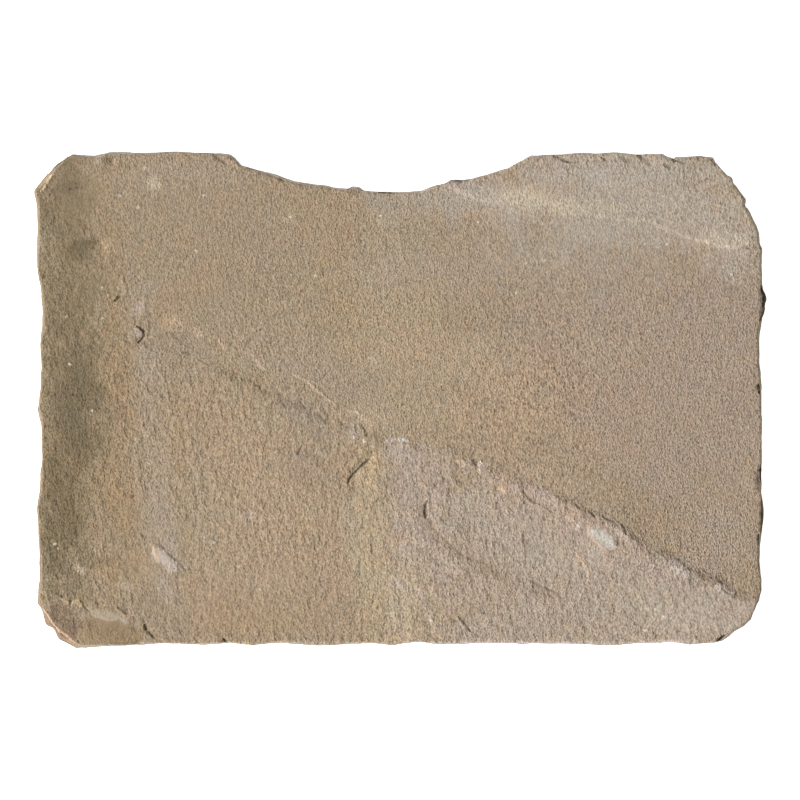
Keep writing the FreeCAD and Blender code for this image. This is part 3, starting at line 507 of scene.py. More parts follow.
# Their share of the colour and height in mm, and their half width and bend as shares of the radius
WHITE_SHARE = 0.8
WHITE_HEIGHT = 0.25
DARK_SHARE = 0.5
PIT_DEPTH = -0.9
SMALL_WIDTH = 0.75
SMALL_BEND = 0.4

# A mark's soft rim as a share of its width, how quickly it narrows to its ends and how narrow it gets,
# how far its outline wanders, and where and how much it breaks up
MARK_RIM = 0.7
MARK_TAPER = 7
MARK_TIP = 0.02
MARK_WANDER = ((9.0, 1.0), (4.0, 1.0)), 301
BREAK_NOISE = 5.0, 305
BREAK_RANGE = (-0.75, 0.05)
BREAK_SHARE = 0.6
PALE_BREAK_SHARE = 0.25


def small_mark(colour, share, height, x, y, radius):
    """A short crooked mark. Its turn comes from its place."""
    turn = x + y
    along, across = radius * math.cos(turn), radius * math.sin(turn)
    middle = x - SMALL_BEND * across, y + SMALL_BEND * along
    return colour, share, height, SMALL_WIDTH * radius, x - along, y - across, *middle, x + along, y + across


def every_mark():
    """The marks in the order that they are laid on."""
    specks = [small_mark(WHITE, WHITE_SHARE, WHITE_HEIGHT, *speck) for speck in WHITE_SPECKS]
    pits = [small_mark(SOIL_AND_SHADOW, DARK_SHARE, PIT_DEPTH, *pit) for pit in DARK_PITS]
    return list(MARKS) + specks + pits


def line_points(pixels):
    """The points in mm of a line whose pixels are x, y, x, y and so on."""
    return np.array([spot(*pixel) for pixel in zip(pixels[::2], pixels[1::2])])


def line_distance(points, pixels):
    """Each point's signed distance from a line, above 0 to its left, and the share of the way along it."""
    corners = line_points(pixels)
    best = np.full(len(points), np.inf)
    signed = np.zeros(len(points))
    along = np.zeros(len(points))
    run_before = 0.0
    for start, finish in zip(corners[:-1], corners[1:]):
        run = finish - start
        length = np.hypot(*run)
        offset = points[:, :2] - start
        share = np.clip(offset @ run / length ** 2, 0, 1)
        distance = np.hypot(*(offset - share[:, None] * run).T)
        side = run[0] * offset[:, 1] - run[1] * offset[:, 0]
        nearer = distance < best
        best = np.where(nearer, distance, best)
        signed = np.where(nearer, np.where(side > 0, distance, -distance), signed)
        along = np.where(nearer, run_before + share * length, along)
        run_before += length
    return signed, along / run_before


def patch(points, wander, middle, half_size, turn, rim):
    """A soft patch over the points: 1 in its middle and 0 outside, with an uneven rim."""
    offset = points[:, :2] - spot(*middle)
    angle = math.radians(turn)
    along = offset @ (math.cos(angle), math.sin(angle)) / (half_size[0] * FACE_PIXEL)
    across = offset @ (-math.sin(angle), math.cos(angle)) / (half_size[1] * FACE_PIXEL)
    return 1 - smooth(np.hypot(along, across) + wander, 1 - rim, 1 + rim / 2)


def near_mark(points, pixels, reach):
    """Which points lie in the box round a line, widened by the reach in mm."""
    corners = line_points(pixels)
    low, high = corners.min(0) - reach, corners.max(0) + reach
    return np.nonzero(np.all((points[:, :2] > low) & (points[:, :2] < high), axis=1))[0]


def mark_gap(points):
    """How far each point is from the nearest narrow mark or from the step, in mm."""
    furthest = MARK_REACHES[0]
    gap = np.minimum(np.abs(line_distance(points, STEP_LINE)[0]), furthest * 2)
    for _, _, height, half_width, *pixels in every_mark():
        if half_width > NARROW_MARK or abs(height) < LOW_MARK:
            continue
        close = near_mark(points, pixels, half_width * PIXEL + furthest)
        distance = np.abs(line_distance(points[close], pixels)[0]) - half_width * PIXEL
        gap[close] = np.minimum(gap[close], distance)
    return gap


def laid_marks(points):
    """The height and the colour (multiplied by its share, and the share) that the marks give each point."""
    height = np.zeros(len(points))
    colour = np.zeros((len(points), 4))
    for tone, share, mark_height, half_width, *pixels in every_mark():
        width = half_width * PIXEL
        close = near_mark(points, pixels, width * 2)
        spots = points[close]
        distance, along = line_distance(spots, pixels)
        distance = np.abs(distance) + layered_noise(spots, *MARK_WANDER) * min(1, half_width / 2)
        narrowed = width * np.sqrt(np.clip(MARK_TAPER * along * (1 - along), MARK_TIP, 1))
        cover = 1 - smooth(distance, narrowed * (1 - MARK_RIM), narrowed * (1 + MARK_RIM))
        broken = 1 - smooth(noise(spots, *BREAK_NOISE), *BREAK_RANGE)
        cover *= 1 - (PALE_BREAK_SHARE if mark_height > 0 else BREAK_SHARE) * broken
        height[close] += cover * mark_height
        cover = (cover * share)[:, None]
        colour[close] = colour[close] * (1 - cover) + np.array(linear(*tone)) * cover
    return height, colour


# The stone's mesh

def squared_stone():
    """The CAD stone as a mesh of small squares, with one face underneath."""
    blank = bpy.data.objects.new("flagstone_blank", cad_stone.data.copy())
    bpy.context.scene.collection.objects.link(blank)
    remesh = blank.modifiers.new("even_mesh", "REMESH")
    remesh.mode = "VOXEL"
    remesh.voxel_size = SQUARE * MM
    evaluated = blank.evaluated_get(bpy.context.evaluated_depsgraph_get())
    mesh = bpy.data.meshes.new_from_object(evaluated)
    bpy.data.objects.remove(blank)
    shape = bmesh.new()
    shape.from_mesh(mesh)
    below = [
        face for face in shape.faces
        if face.normal.z < FACING_DOWN and face.calc_center_median().z < UNDERSIDE * MM
    ]
    bmesh.ops.dissolve_faces(shape, faces=below)
    shape.to_mesh(mesh)
    shape.free()
    return mesh


def refine(mesh, chosen):
    """Halves the squares that are chosen. The big face underneath stays."""
    shape = bmesh.new()
    shape.from_mesh(mesh)
    shape.faces.ensure_lookup_table()
    edges = {edge for number in chosen for edge in shape.faces[number].edges}
    bmesh.ops.subdivide_edges(shape, edges=list(edges), cuts=1, use_grid_fill=True)
    shape.to_mesh(mesh)
    shape.free()


def read_points(what, name):
    """A vector of each item in a mesh's collection, as rows."""
    values = np.zeros(len(what) * 3)
    what.foreach_get(name, values)
    return values.reshape(-1, 3)


def vertex_points(mesh):
    """The mesh's points in mm."""
    return read_points(mesh.vertices, "co") / MM


def crest_distance(points, crest):
    """How far each point is from the nearest crest point, in mm."""
    tree = KDTree(len(crest))
    for number, place in enumerate(crest):
        tree.insert(place, number)
    tree.balance()
    return np.array([tree.find(place)[2] for place in points])


def on_cad(tree, points):
    """The nearest point of the CAD stone to each point."""
    return np.array([tree.find_nearest(Vector(place * MM))[0] for place in points]) / MM


def bed_height(tree, points):
    """The CAD stone's height over each point, in mm."""
    down = Vector((0, 0, -1))
    heights = np.copy(points[:, 2])
    for number, (x, y) in enumerate(points[:, :2]):
        hit = tree.ray_cast(Vector((x * MM, y * MM, 1)), down)
        if hit[0] is not None:
            heights[number] = hit[0].z / MM
    return heights


def worn_bed(tree, points, along):
    """The CAD stone's height over each point, in mm, with the step worn to a slope."""
    shares, narrowest, widest = np.array(STEP_RUNS).T
    uneven = smooth(noise(points * IN_PLAN, *STEP_RUN_NOISE), -0.5, 0.5)
    run = np.interp(along, shares, narrowest) * (1 - uneven) + np.interp(along, shares, widest) * uneven
    signed = line_distance(points, STEP_LINE)[0]
    heights = bed_height(tree, points)
    slope = np.nonzero(np.abs(signed) < run)[0]
    turn = math.radians(STEP_HEADING + 90)
    reach = np.outer(STEP_SIDE_REACH * run[slope], (math.cos(turn), math.sin(turn), 0))
    share = smooth(signed[slope], -run[slope], run[slope])
    heights[slope] = bed_height(tree, points[slope] - reach) * (1 - share)
    heights[slope] += bed_height(tree, points[slope] + reach) * share
    return heights


def stone_blank(tree):
    """The mesh of squares, refined, with its points on the CAD stone. Also gives its crest points."""
    mesh = squared_stone()
    points = vertex_points(mesh)
    rise = read_points(mesh.vertex_normals, "vector")[:, 2]
    turning = (rise > CREST_SLOPE[0]) & (rise < CREST_SLOPE[1]) & (points[:, 2] > CREST_FLOOR)
    crest = on_cad(tree, points[turning])
    for level, reach in enumerate(MARK_REACHES):
        centres = read_points(mesh.polygons, "center") / MM
        wanted = mark_gap(centres) < reach
        if level == 0:
            wanted |= crest_distance(centres, crest) < RIM_REACH
        refine(mesh, np.nonzero(wanted & (centres[:, 2] > UPPER_PART))[0])
    mesh.vertices.foreach_set("co", (on_cad(tree, vertex_points(mesh)) * MM).ravel())
    mesh.update()
    return mesh, crest


# What is face and what is an upright side, by the height of the surface's normal
FACE_SLOPE = (0.45, 0.8)
UPRIGHT_SLOPE = (0.1, 0.4)

# Noises of the relief: (wave, height) pairs in mm, and the seed
ROUGH_BED = ((90, 0.55), (38, 0.3), (18, 0.26), (10, 0.2)), 20
ROUGH_STREAKS = ((24, 0.3), (12, 0.18)), 30
CALM_BED = ((110, 0.3), (45, 0.12), (16, 0.07), (9, 0.1)), 40
BROKEN_LIP = ((20, 0.8), (9, 0.5)), 60
RIDGES = ((13, 0.34), (7, 0.2)), 70
CHIPPED_SIDES = ((60, 1.1), (26, 0.9), (12, 0.6)), 80
UNDERCUTS = ((46, 3.6), (20, 2.0)), 85
LEDGES = ((13, 1.5),), 88

# The streaks run along the step. The ridges have their own heading, in one part of the upper bed:
# (middle and half size in pixels, turn in degrees, soft rim)
STREAK_STRETCH = 2.2
RIDGE_STRETCH = 1.9
RIDGE_HEADING = -56.0
RIDGED_PLACE = ((214, 420), (170, 80), -30, 0.7)

# Distances from the crest, in mm: where the face's own height begins, and where the step may wander
FACE_MARGIN = 6.0
WANDER_MARGIN = (10.0, 30.0)

# The nicks in the rim: wave in mm and seed, how much of the noise is left out, how far they reach from the
# crest, and how far they cut in and down
NICKS = 13, 90
NICK_THRESHOLD = 0.25
NICK_REACH = (1.0, 5.0)
NICK_IN = 5.0
NICK_DOWN = 3.0

# The beds show on the sides: the noises are squashed across them, or for the ledges drawn out along them
BED_SQUASH = (1, 1, 3.2)
LEDGE_SQUASH = (0.22, 0.22, 1.0)
LEDGE_LOSS = 0.6
LUMP_CORE = 0.3

# Heights in mm over which these come in, or fade, from below
SIDE_FOOT = (0.5, 4.0)
SIDE_MARKS_FADE = (10.0, 24.0)
UNDERCUT_FADE = (13.0, 21.0)
LEDGE_FADE = (13.0, 18.0)
MARKS_RISE = (22.0, 36.0)
NICKS_RISE = (25.0, 35.0)


def bed_relief(flat, lower_bed, near_step):
    """The height of the face's own relief at each point of the plan, in mm."""
    streaks = streaked(flat, STEP_HEADING, STREAK_STRETCH)
    ridges = streaked(flat, RIDGE_HEADING, RIDGE_STRETCH)
    rough = layered_noise(flat, *ROUGH_BED) + layered_noise(streaks, *ROUGH_STREAKS)
    rough += near_step * layered_noise(streaks, *BROKEN_LIP)
    rough += patch(flat, 0, *RIDGED_PLACE) * layered_noise(ridges, *RIDGES)
    return rough * (1 - lower_bed) + layered_noise(flat, *CALM_BED) * lower_bed


def side_relief(points):
    """How far the chips, lumps, hollows and ledges of the sides stand out at each point, in mm."""
    bedded = points * BED_SQUASH
    heights = points[:, 2]
    relief = layered_noise(bedded, *CHIPPED_SIDES)
    for x, y, radius, reach in RIM_LUMPS:
        gap = np.linalg.norm(points[:, :2] - spot(x, y), axis=1) / (radius * PIXEL)
        relief += reach * (1 - smooth(gap, LUMP_CORE, 1))
    relief -= np.maximum(layered_noise(bedded, *UNDERCUTS), 0) * (1 - smooth(heights, *UNDERCUT_FADE))
    relief += layered_noise(points * LEDGE_SQUASH, *LEDGES) * (1 - LEDGE_LOSS * smooth(heights, *LEDGE_FADE))
    return relief


def weathered(mesh, crest, tree):
    """Gives the mesh the stone's riven face, its marks and its dressed sides."""
    points = vertex_points(mesh)
    normals = read_points(mesh.vertex_normals, "vector")
    flat = points * IN_PLAN
    is_face = smooth(normals[:, 2], *FACE_SLOPE)
    is_side = (1 - is_face) * smooth(points[:, 2], *SIDE_FOOT)
    from_crest = crest_distance(points, crest)
    signed, along = line_distance(points, STEP_LINE)
    signed += layered_noise(flat, *STEP_STRAY)
    near_step = np.exp(-(signed / LIP_REACH) ** 2) * smooth(along, *LIP_START)

    inner = np.nonzero((is_face > 0.5) & (from_crest > FACE_MARGIN))[0]
    wander = np.zeros_like(points)
    for axis, seed in enumerate(STEP_WANDER_SEEDS):
        wander[:, axis] = layered_noise(flat, STEP_WANDER, seed)
    wander *= (near_step * smooth(from_crest, *WANDER_MARGIN))[:, None]
    points[inner, 2] = worn_bed(tree, (points + wander)[inner], along[inner])

    relief = bed_relief(flat, smooth(signed, -STEP_BLEND, STEP_BLEND), near_step)
    mark_height, mark_colour = laid_marks(points)
    upright = 1 - smooth(normals[:, 2], *UPRIGHT_SLOPE)
    mark_colour *= (1 - upright * (1 - smooth(points[:, 2], *SIDE_MARKS_FADE)))[:, None]
    points[:, 2] += is_face * relief + smooth(points[:, 2], *MARKS_RISE) * mark_height

    outward = normals * IN_PLAN
    outward /= np.maximum(np.linalg.norm(outward, axis=1, keepdims=True), 1e-6)
    nick = np.maximum(noise(flat, *NICKS) - NICK_THRESHOLD, 0)
    nick *= (1 - smooth(from_crest, *NICK_REACH)) * smooth(points[:, 2], *NICKS_RISE)
    points += outward * (is_side * side_relief(points) - NICK_IN * nick)[:, None]
    points[:, 2] -= NICK_DOWN * nick

    signed[points[:, 2] < UNDERSIDE] = 0
    mesh.vertices.foreach_set("co", (points * MM).ravel())
    for name, values in (("step_distance", signed), ("side_share", 1 - is_face)):
        mesh.attributes.new(name, "FLOAT", "POINT").data.foreach_set("value", values)
    mesh.attributes.new("mark_colour", "FLOAT_COLOR", "POINT").data.foreach_set("color", mark_colour.ravel())
    mesh.update()


# Edges sharper than this, in degrees, aren't shaded smooth
SHARP_ANGLE = 60.0

cad_tree = BVHTree.FromPolygons(
    [vertex.co for vertex in cad_stone.data.vertices],
    [tuple(face.vertices) for face in cad_stone.data.polygons],
)
stone_mesh, crest_points = stone_blank(cad_tree)
weathered(stone_mesh, crest_points, cad_tree)
stone_mesh.shade_smooth()
stone_mesh.set_sharp_from_angle(angle=math.radians(SHARP_ANGLE))
max(stone_mesh.polygons, key=lambda face: face.area).use_smooth = False
stone = bpy.data.objects.new("riven_flagstone", stone_mesh)
bpy.context.scene.collection.objects.link(stone)


# The stone's material

class Shader:
    """Short ways to add nodes to one material."""

    def __init__(self, name):
        self.material = bpy.data.materials.new(name)
        self.material.use_nodes = True
        self.tree = self.material.node_tree
        self.tree.nodes.clear()

    def add(self, kind, settings=None, **sockets):
        node = self.tree.nodes.new(kind)
        for key, value in (settings or {}).items():
            setattr(node, key, value)
        for key, value in sockets.items():
            socket = node.inputs[int(key[1:])] if key[1:].isdigit() else node.inputs[key.replace("_", " ")]
            if isinstance(value, bpy.types.NodeSocket):
                self.tree.links.new(value, socket)
            else:
                socket.default_value = value
        return node

    def math(self, operation, first, second=0.0, clamp=False):
        settings = {"operation": operation, "use_clamp": clamp}
        return self.add("ShaderNodeMath", settings, _0=first, _1=second).outputs[0]

    def noise(self, vector, wave, detail, distortion=0.0):
        """Noise from -0.5 to 0.5 with bumps about half a wave across, in millimetres."""
        node = self.add(
            "ShaderNodeTexNoise", None, Vector=vector, Scale=1 / wave, Detail=detail, Distortion=distortion,
        )
        return self.math("SUBTRACT", node.outputs["Fac"], 0.5)

    def attribute(self, name, output="Fac"):
        return self.add("ShaderNodeAttribute", {"attribute_name": name}).outputs[output]

    def ramp(self, value, low, high, start=0.0, end=1.0):
        """A smooth rise from start to end as the value goes from low to high."""
        settings = {"interpolation_type": "SMOOTHSTEP"}
        node = self.add("ShaderNodeMapRange", settings, Value=value, _1=low, _2=high, _3=start, _4=end)
        return node.outputs[0]

    def mix(self, share, first, second, blend="MIX"):
        settings = {"data_type": "RGBA", "blend_type": blend}
        return self.add("ShaderNodeMix", settings, _0=share, _6=first, _7=second).outputs[2]


# Broad colours of the stone, as they look on a screen
BASE_TAN = (164, 145, 121)
WARM_TAN = (174, 152, 126)
ORANGE_TAN = (168, 145, 113)
ORANGE_STRIP = (161, 139, 110)
LIGHT_TAN = (173, 155, 129)
GOLD_TAN = (172, 150, 124)
OLIVE_TAN = (160, 141, 115)
OLIVE_BROWN = (148, 131, 104)
OLIVE_STAIN = (121, 107, 83)
LAVENDER = (170, 154, 135)
MAUVE_GREY = (166, 147, 129)
RED_BROWN = (168, 144, 121)
LIGHT_PATCH = (184, 164, 138)
RED_TAN = (178, 152, 126)
MAUVE_BROWN = (164, 142, 119)
PALE_BAND = (177, 164, 149)
GREY_BAND = (179, 169, 157)
GREY_EDGE = (182, 167, 149)
CREAM_TAN = (192, 178, 153)
OCHRE_TAN = (181, 161, 132)
PALE_OCHRE = (184, 166, 142)
LILAC_GREY = (175, 158, 141)
PINK_GREY = (178, 159, 143)
GREEN_GREY = (178, 164, 146)
PALE_SIDE = (184, 169, 150)
GREY_SIDE = (173, 162, 147)
WARM_SIDE = (150, 131, 107)
SHADED_SIDE = (136, 125, 104)
DUSK_LILAC = (161, 143, 124)
LIGHT_GOLD = (180, 159, 133)
SOFT_LILAC = (186, 170, 154)
PALE_MAUVE = (171, 154, 136)

# Where the broad colours lie: (bed: 1 the upper, lower left one, -1 the lower, right one, 0 both,
# colour, middle in the photograph, half length and half width in its pixels, turn in degrees,
# share of the colour at the middle, width of the soft rim as a share of the size)
CLOUDS = (
    # The lower bed, above and to the right of the step
    (0, MAUVE_GREY, (650, 390), (190, 170), -8, 1.0, 0.8),
    (0, LIGHT_TAN, (400, 345), (60, 115), 12, 0.8, 0.9),
    (0, LAVENDER, (540, 262), (130, 30), 0, 0.6, 0.9),
    # The pale band here is painted highlight on the lit edge of the higher bed at the back
    (0, PALE_BAND, (610, 205), (160, 52), -3, 0.75, 0.7),
    (0, PALE_BAND, (480, 196), (64, 24), -12, 0.75, 0.9),
    (0, PALE_BAND, (400, 205), (60, 20), -8, 0.35, 0.9),
    (0, PALE_BAND, (738, 250), (40, 34), 0, 0.6, 0.8),
    (0, GREY_BAND, (486, 192), (36, 10), -10, 0.4, 0.8),
    (0, CREAM_TAN, (516, 200), (24, 9), -8, 0.35, 0.9),
    (0, CREAM_TAN, (540, 200), (40, 14), -12, 0.65, 0.8),
    (0, CREAM_TAN, (590, 208), (36, 10), -8, 0.55, 0.8),
    (0, CREAM_TAN, (728, 240), (36, 7), -6, 0.3, 0.8),
    (0, GREY_BAND, (620, 167), (120, 22), -2, 0.55, 0.8),
    (0, GREY_BAND, (614, 176), (24, 9), -4, 0.5, 0.8),
    (0, GREY_EDGE, (718, 216), (60, 30), -8, 0.5, 0.8),
    (-1, RED_BROWN, (560, 372), (60, 40), -30, 0.5, 0.9),
    (-1, GOLD_TAN, (500, 412), (110, 40), -24, 0.8, 0.9),
    (-1, LIGHT_GOLD, (486, 366), (70, 34), -14, 0.55, 0.9),
    (-1, LIGHT_GOLD, (590, 352), (34, 20), -14, 0.25, 0.9),
    (-1, LIGHT_GOLD, (546, 478), (34, 12), -30, 0.5, 0.9),
    (-1, PALE_MAUVE, (716, 545), (46, 34), -10, 0.75, 0.8),
    (0, LIGHT_TAN, (338, 348), (34, 18), -20, 0.45, 0.9),
    (0, LIGHT_TAN, (230, 362), (18, 28), 0, 0.4, 0.9),
    (-1, OLIVE_TAN, (640, 508), (110, 20), -31, 0.5, 0.9),
    (0, ORANGE_TAN, (338, 300), (26, 60), 6, 0.4, 0.9),
    (0, LAVENDER, (180, 172), (70, 18), 0, 0.4, 0.9),
    (0, LAVENDER, (290, 360), (80, 26), -30, 0.35, 0.9),
    # The upper bed, below and to the left of the step
    (1, WARM_TAN, (265, 520), (150, 140), -8, 0.95, 0.8),
    (1, DUSK_LILAC, (303, 413), (42, 17), -32, 0.85, 0.7),
    (1, DUSK_LILAC, (300, 462), (22, 16), -20, 0.45, 0.9),
    (1, MAUVE_BROWN, (310, 465), (34, 30), 0, 0.4, 0.9),
    (1, MAUVE_BROWN, (335, 610), (30, 34), 8, 0.35, 0.9),
    (1, RED_TAN, (338, 560), (18, 46), 0, 0.6, 0.9),
    (1, ORANGE_TAN, (255, 620), (60, 24), 0, 0.4, 0.9),
    (0, ORANGE_STRIP, (112, 420), (24, 250), 2, 0.9, 0.7),
    (0, LAVENDER, (128, 210), (22, 80), 4, 0.25, 0.8),
    (0, LAVENDER, (141, 300), (16, 30), 0, 0.6, 0.8),
    (0, LAVENDER, (150, 362), (15, 28), 0, 0.6, 0.8),
    (0, LAVENDER, (148, 430), (10, 50), 5, 0.25, 0.8),
    (0, LAVENDER, (196, 358), (14, 18), 0, 0.4, 0.8),
    (1, LAVENDER, (164, 528), (18, 74), 6, 0.6, 0.8),
    (1, ORANGE_TAN, (182, 480), (9, 130), 4, 0.4, 0.9),
    (1, OLIVE_TAN, (158, 600), (22, 18), 0, 0.7, 0.9),
    (1, OLIVE_TAN, (234, 598), (16, 14), 0, 0.5, 0.9),
    (0, OLIVE_TAN, (138, 250), (28, 40), 0, 0.4, 0.9),
    (1, LIGHT_TAN, (266, 420), (16, 16), 0, 0.5, 0.9),
    (1, LIGHT_TAN, (230, 384), (16, 12), -20, 0.4, 0.9),
    (1, LILAC_GREY, (590, 580), (215, 90), -16, 0.95, 0.5),
    (1, LILAC_GREY, (416, 510), (38, 90), 0, 0.95, 0.6),
    (1, LILAC_GREY, (486, 632), (80, 16), 0, 0.9, 0.7),
    (1, OCHRE_TAN, (374, 560), (22, 130), 0, 0.85, 0.6),
    (0, LIGHT_PATCH, (372, 416), (22, 12), -10, 0.6, 0.9),
    (0, OCHRE_TAN, (374, 462), (12, 34), 0, 0.8, 0.8),
    (1, PALE_OCHRE, (406, 602), (26, 60), 0, 0.85, 0.8),
    (1, PINK_GREY, (560, 512), (130, 16), -31, 0.75, 0.8),
    (1, SOFT_LILAC, (592, 556), (20, 13), -34, 0.7, 0.8),
    (1, PINK_GREY, (640, 575), (40, 16), -30, 0.5, 0.9),
    (1, GREEN_GREY, (492, 512), (50, 22), -32, 0.6, 0.8),
    (1, GREEN_GREY, (560, 560), (40, 22), -24, 0.6, 0.8),
    (1, GREEN_GREY, (656, 608), (66, 24), -10, 0.75, 0.8),
    (1, SOFT_LILAC, (718, 624), (52, 22), 6, 0.5, 0.8),
    (1, OLIVE_TAN, (482, 562), (44, 7), -26, 0.35, 0.9),
    (1, SOFT_LILAC, (446, 562), (20, 14), -30, 0.6, 0.9),
    (1, SOFT_LILAC, (506, 604), (26, 14), -10, 0.3, 0.9),
    (1, SOFT_LILAC, (590, 562), (18, 12), -20, 0.5, 0.9),
    (1, OLIVE_TAN, (372, 632), (18, 14), 0, 0.5, 0.9),
    (-1, LIGHT_GOLD, (446, 412), (20, 20), 0, 0.4, 0.9),
    (0, LAVENDER, (400, 272), (60, 18), 0, 0.5, 0.9),
    # The stained left end, and the corners
    (0, OLIVE_BROWN, (62, 385), (46, 240), 0, 0.95, 0.45),
    (0, OLIVE_STAIN, (75, 400), (27, 74), 2, 0.85, 0.7),
    (0, OLIVE_STAIN, (62, 505), (24, 92), 0, 0.75, 0.6),
    (0, OLIVE_STAIN, (66, 300), (32, 44), 0, 0.35, 0.9),
    (0, OLIVE_STAIN, (80, 228), (40, 34), 15, 0.35, 0.9),
    (0, OLIVE_STAIN, (86, 245), (17, 7), 12, 0.75, 0.5),
    (0, OLIVE_STAIN, (74, 257), (18, 7), 0, 0.5, 0.6),
    (0, OLIVE_STAIN, (68, 188), (20, 6), 8, 0.6, 0.6),
    (0, OLIVE_STAIN, (48, 204), (12, 24), 0, 0.5, 0.8),
    (0, OLIVE_TAN, (104, 162), (46, 12), 0, 0.5, 0.9),
    (0, OLIVE_STAIN, (83, 547), (9, 7), 0, 0.6, 0.7),
    (0, OLIVE_STAIN, (88, 562), (18, 12), 0, 0.3, 0.9),
    (0, OLIVE_STAIN, (66, 178), (28, 20), 35, 0.5, 0.9),
    (0, OLIVE_TAN, (122, 220), (28, 40), 0, 0.4, 0.9),
    (1, ORANGE_STRIP, (112, 633), (44, 14), 0, 0.85, 0.6),
    (0, MAUVE_BROWN, (60, 622), (18, 24), 0, 0.5, 0.6),
)

# A shader noise seldom strays further than a quarter from its middle, so shares of colour are put up by this
NOISE_GAIN = 4

# Uneven tints over everything: (wave in mm, share by which it turns warm or cool, and green or pink).
# The second noise of each is read this far along, in mm, further for each tint
TINTS = ((8.0, 0.020, 0.016), (18.0, 0.030, 0.014), (90.0, 0.024, 0.010))
TINT_SHIFT = 300.0
TINT_SHIFT_STEP = 500.0

# The grain runs a little longer up and down. Each layer is
# (wave in mm, stretch, share in the shade of the colour, height in mm on the upper bed, on the lower bed)
GRAIN_HEADING = -86.0
GRAIN_DISTORTION = 0.25
GRAIN_BLEND = 4.0
GRAIN = (
    (1.9, 1.25, 0.26, 0.66, 0.82),
    (3.0, 1.3, 0.12, 1.05, 1.02),
    (5.4, 1.35, 0.06, 1.60, 0.86),
    (10.0, 1.25, 0.03, 2.10, 0.60),
)

# On the sides the grain is weaker, and the beds show as streaks in the relief and in the shade of the colour
SIDE_GRAIN = 0.6
SIDE_GRAIN_FROM = 0.3
BEDDING_WAVE = 26.0
BEDDING_SQUASH = 6.0
BEDDING_HEIGHT = 4.0
BEDDING_SHADE = 0.9

# The sides' colour, greyer at the back and darker at the right end partly as painted shade, and the
# stretches of X or Y, in mm, over which it turns from one to the next
SIDE_COLOUR_SHARE = 0.8
FRONT_TO_BACK = (0.0, 100.0)
LEFT_END = (-370.0, -420.0)
RIGHT_END = (380.0, 440.0)

DARKEST_SHADE = 0.3
STONE_ROUGHNESS = 0.9
STONE_SPECULAR = 0.2

# Where the grain is lower, or higher: (middle, half size, turn, share of its strength taken off)
CALM_PLACES = (
    ((600, 212), (180, 62), -3, 0.24),
    ((150, 215), (150, 70), 0, 0.18),
    ((70, 182), (34, 34), 0, 0.35),
    ((80, 330), (34, 120), 0, 0.12),
    ((225, 600), (140, 44), 0, 0.24),
    ((150, 545), (46, 50), 0, 0.16),
    ((560, 548), (56, 22), -20, 0.14),
    ((110, 636), (50, 18), 0, 0.35),
    ((602, 539), (18, 9), -34, 0.45),
    ((690, 535), (80, 50), -24, -0.22),
    ((690, 606), (90, 30), -6, 0.22),
    ((600, 270), (190, 46), 0, 0.14),
    ((170, 312), (80, 60), 0, 0.14),
    ((280, 470), (190, 110), 0, 0.08),
    ((163, 558), (15, 8), -40, 0.7),
    ((110, 617), (30, 8), -12, 0.4),
    ((560, 396), (60, 40), -20, -0.12),
)

# How far the rims of the soft patches wander, as shares of their size: (wave in mm, share)
PATCH_WANDER = ((38.0, 0.40), (19.0, 0.26), (9.5, 0.18), (4.5, 0.14)), 401
CALM_RIM = 0.6
BED_BLEND = 6.0


def broadly_coloured(mesh):
    """Gives the mesh's points their broad colour and how strong the grain is there."""
    points = vertex_points(mesh)
    signed = np.zeros(len(points))
    mesh.attributes["step_distance"].data.foreach_get("value", signed)
    wander = layered_noise(points * IN_PLAN, *PATCH_WANDER)
    on_lower = smooth(signed, -BED_BLEND, BED_BLEND)
    on_bed = {0: 1, 1: 1 - on_lower, -1: on_lower}
    colour = np.tile(linear(*BASE_TAN), (len(points), 1))
    for bed, tone, middle, half_size, turn, share, rim in CLOUDS:
        cover = (patch(points, wander, middle, half_size, turn, rim) * share * on_bed[bed])[:, None]
        colour = colour * (1 - cover) + np.array(linear(*tone)) * cover
    strength = np.ones(len(points))
    for middle, half_size, turn, share in CALM_PLACES:
        strength -= patch(points, wander, middle, half_size, turn, CALM_RIM) * share
    underneath = points[:, 2] < UNDERSIDE
    colour[underneath] = linear(*GREY_SIDE)
    strength[underneath] = 1
    mesh.attributes.new("broad_colour", "FLOAT_COLOR", "POINT").data.foreach_set("color", colour.ravel())
    mesh.attributes.new("grain_strength", "FLOAT", "POINT").data.foreach_set("value", strength)


def tinted(shader, colour, place):
    """The colour with uneven tints, warm or cool and green or pink."""
    for number, (wave, warm, green) in enumerate(TINTS):
        shift = (TINT_SHIFT_STEP * number + TINT_SHIFT, 0, 0)
        aside = shader.add("ShaderNodeVectorMath", {"operation": "ADD"}, _0=place, _1=shift).outputs[0]
        warmer = shader.math("MULTIPLY", shader.noise(place, wave, 1), warm * NOISE_GAIN)
        greener = shader.math("MULTIPLY", shader.noise(aside, wave, 1), green * NOISE_GAIN)
        tint = shader.add(
            "ShaderNodeCombineColor", None, _0=shader.math("ADD", 1.0, warmer),
            _1=shader.math("ADD", 1.0, greener), _2=shader.math("SUBTRACT", 1.0, warmer),
        )
        colour = shader.mix(1.0, colour, tint.outputs[0], "MULTIPLY")
    return colour


def side_colour(shader, place):
    """The colour of the dressed sides, which turns from the front to the back and at the ends."""
    axes = shader.add("ShaderNodeSeparateXYZ", None, Vector=place).outputs
    colour = shader.mix(shader.ramp(axes["Y"], *FRONT_TO_BACK), linear(*PALE_SIDE), linear(*GREY_SIDE))
    colour = shader.mix(shader.ramp(axes["X"], *LEFT_END), colour, linear(*WARM_SIDE))
    return shader.mix(shader.ramp(axes["X"], *RIGHT_END), colour, linear(*SHADED_SIDE))


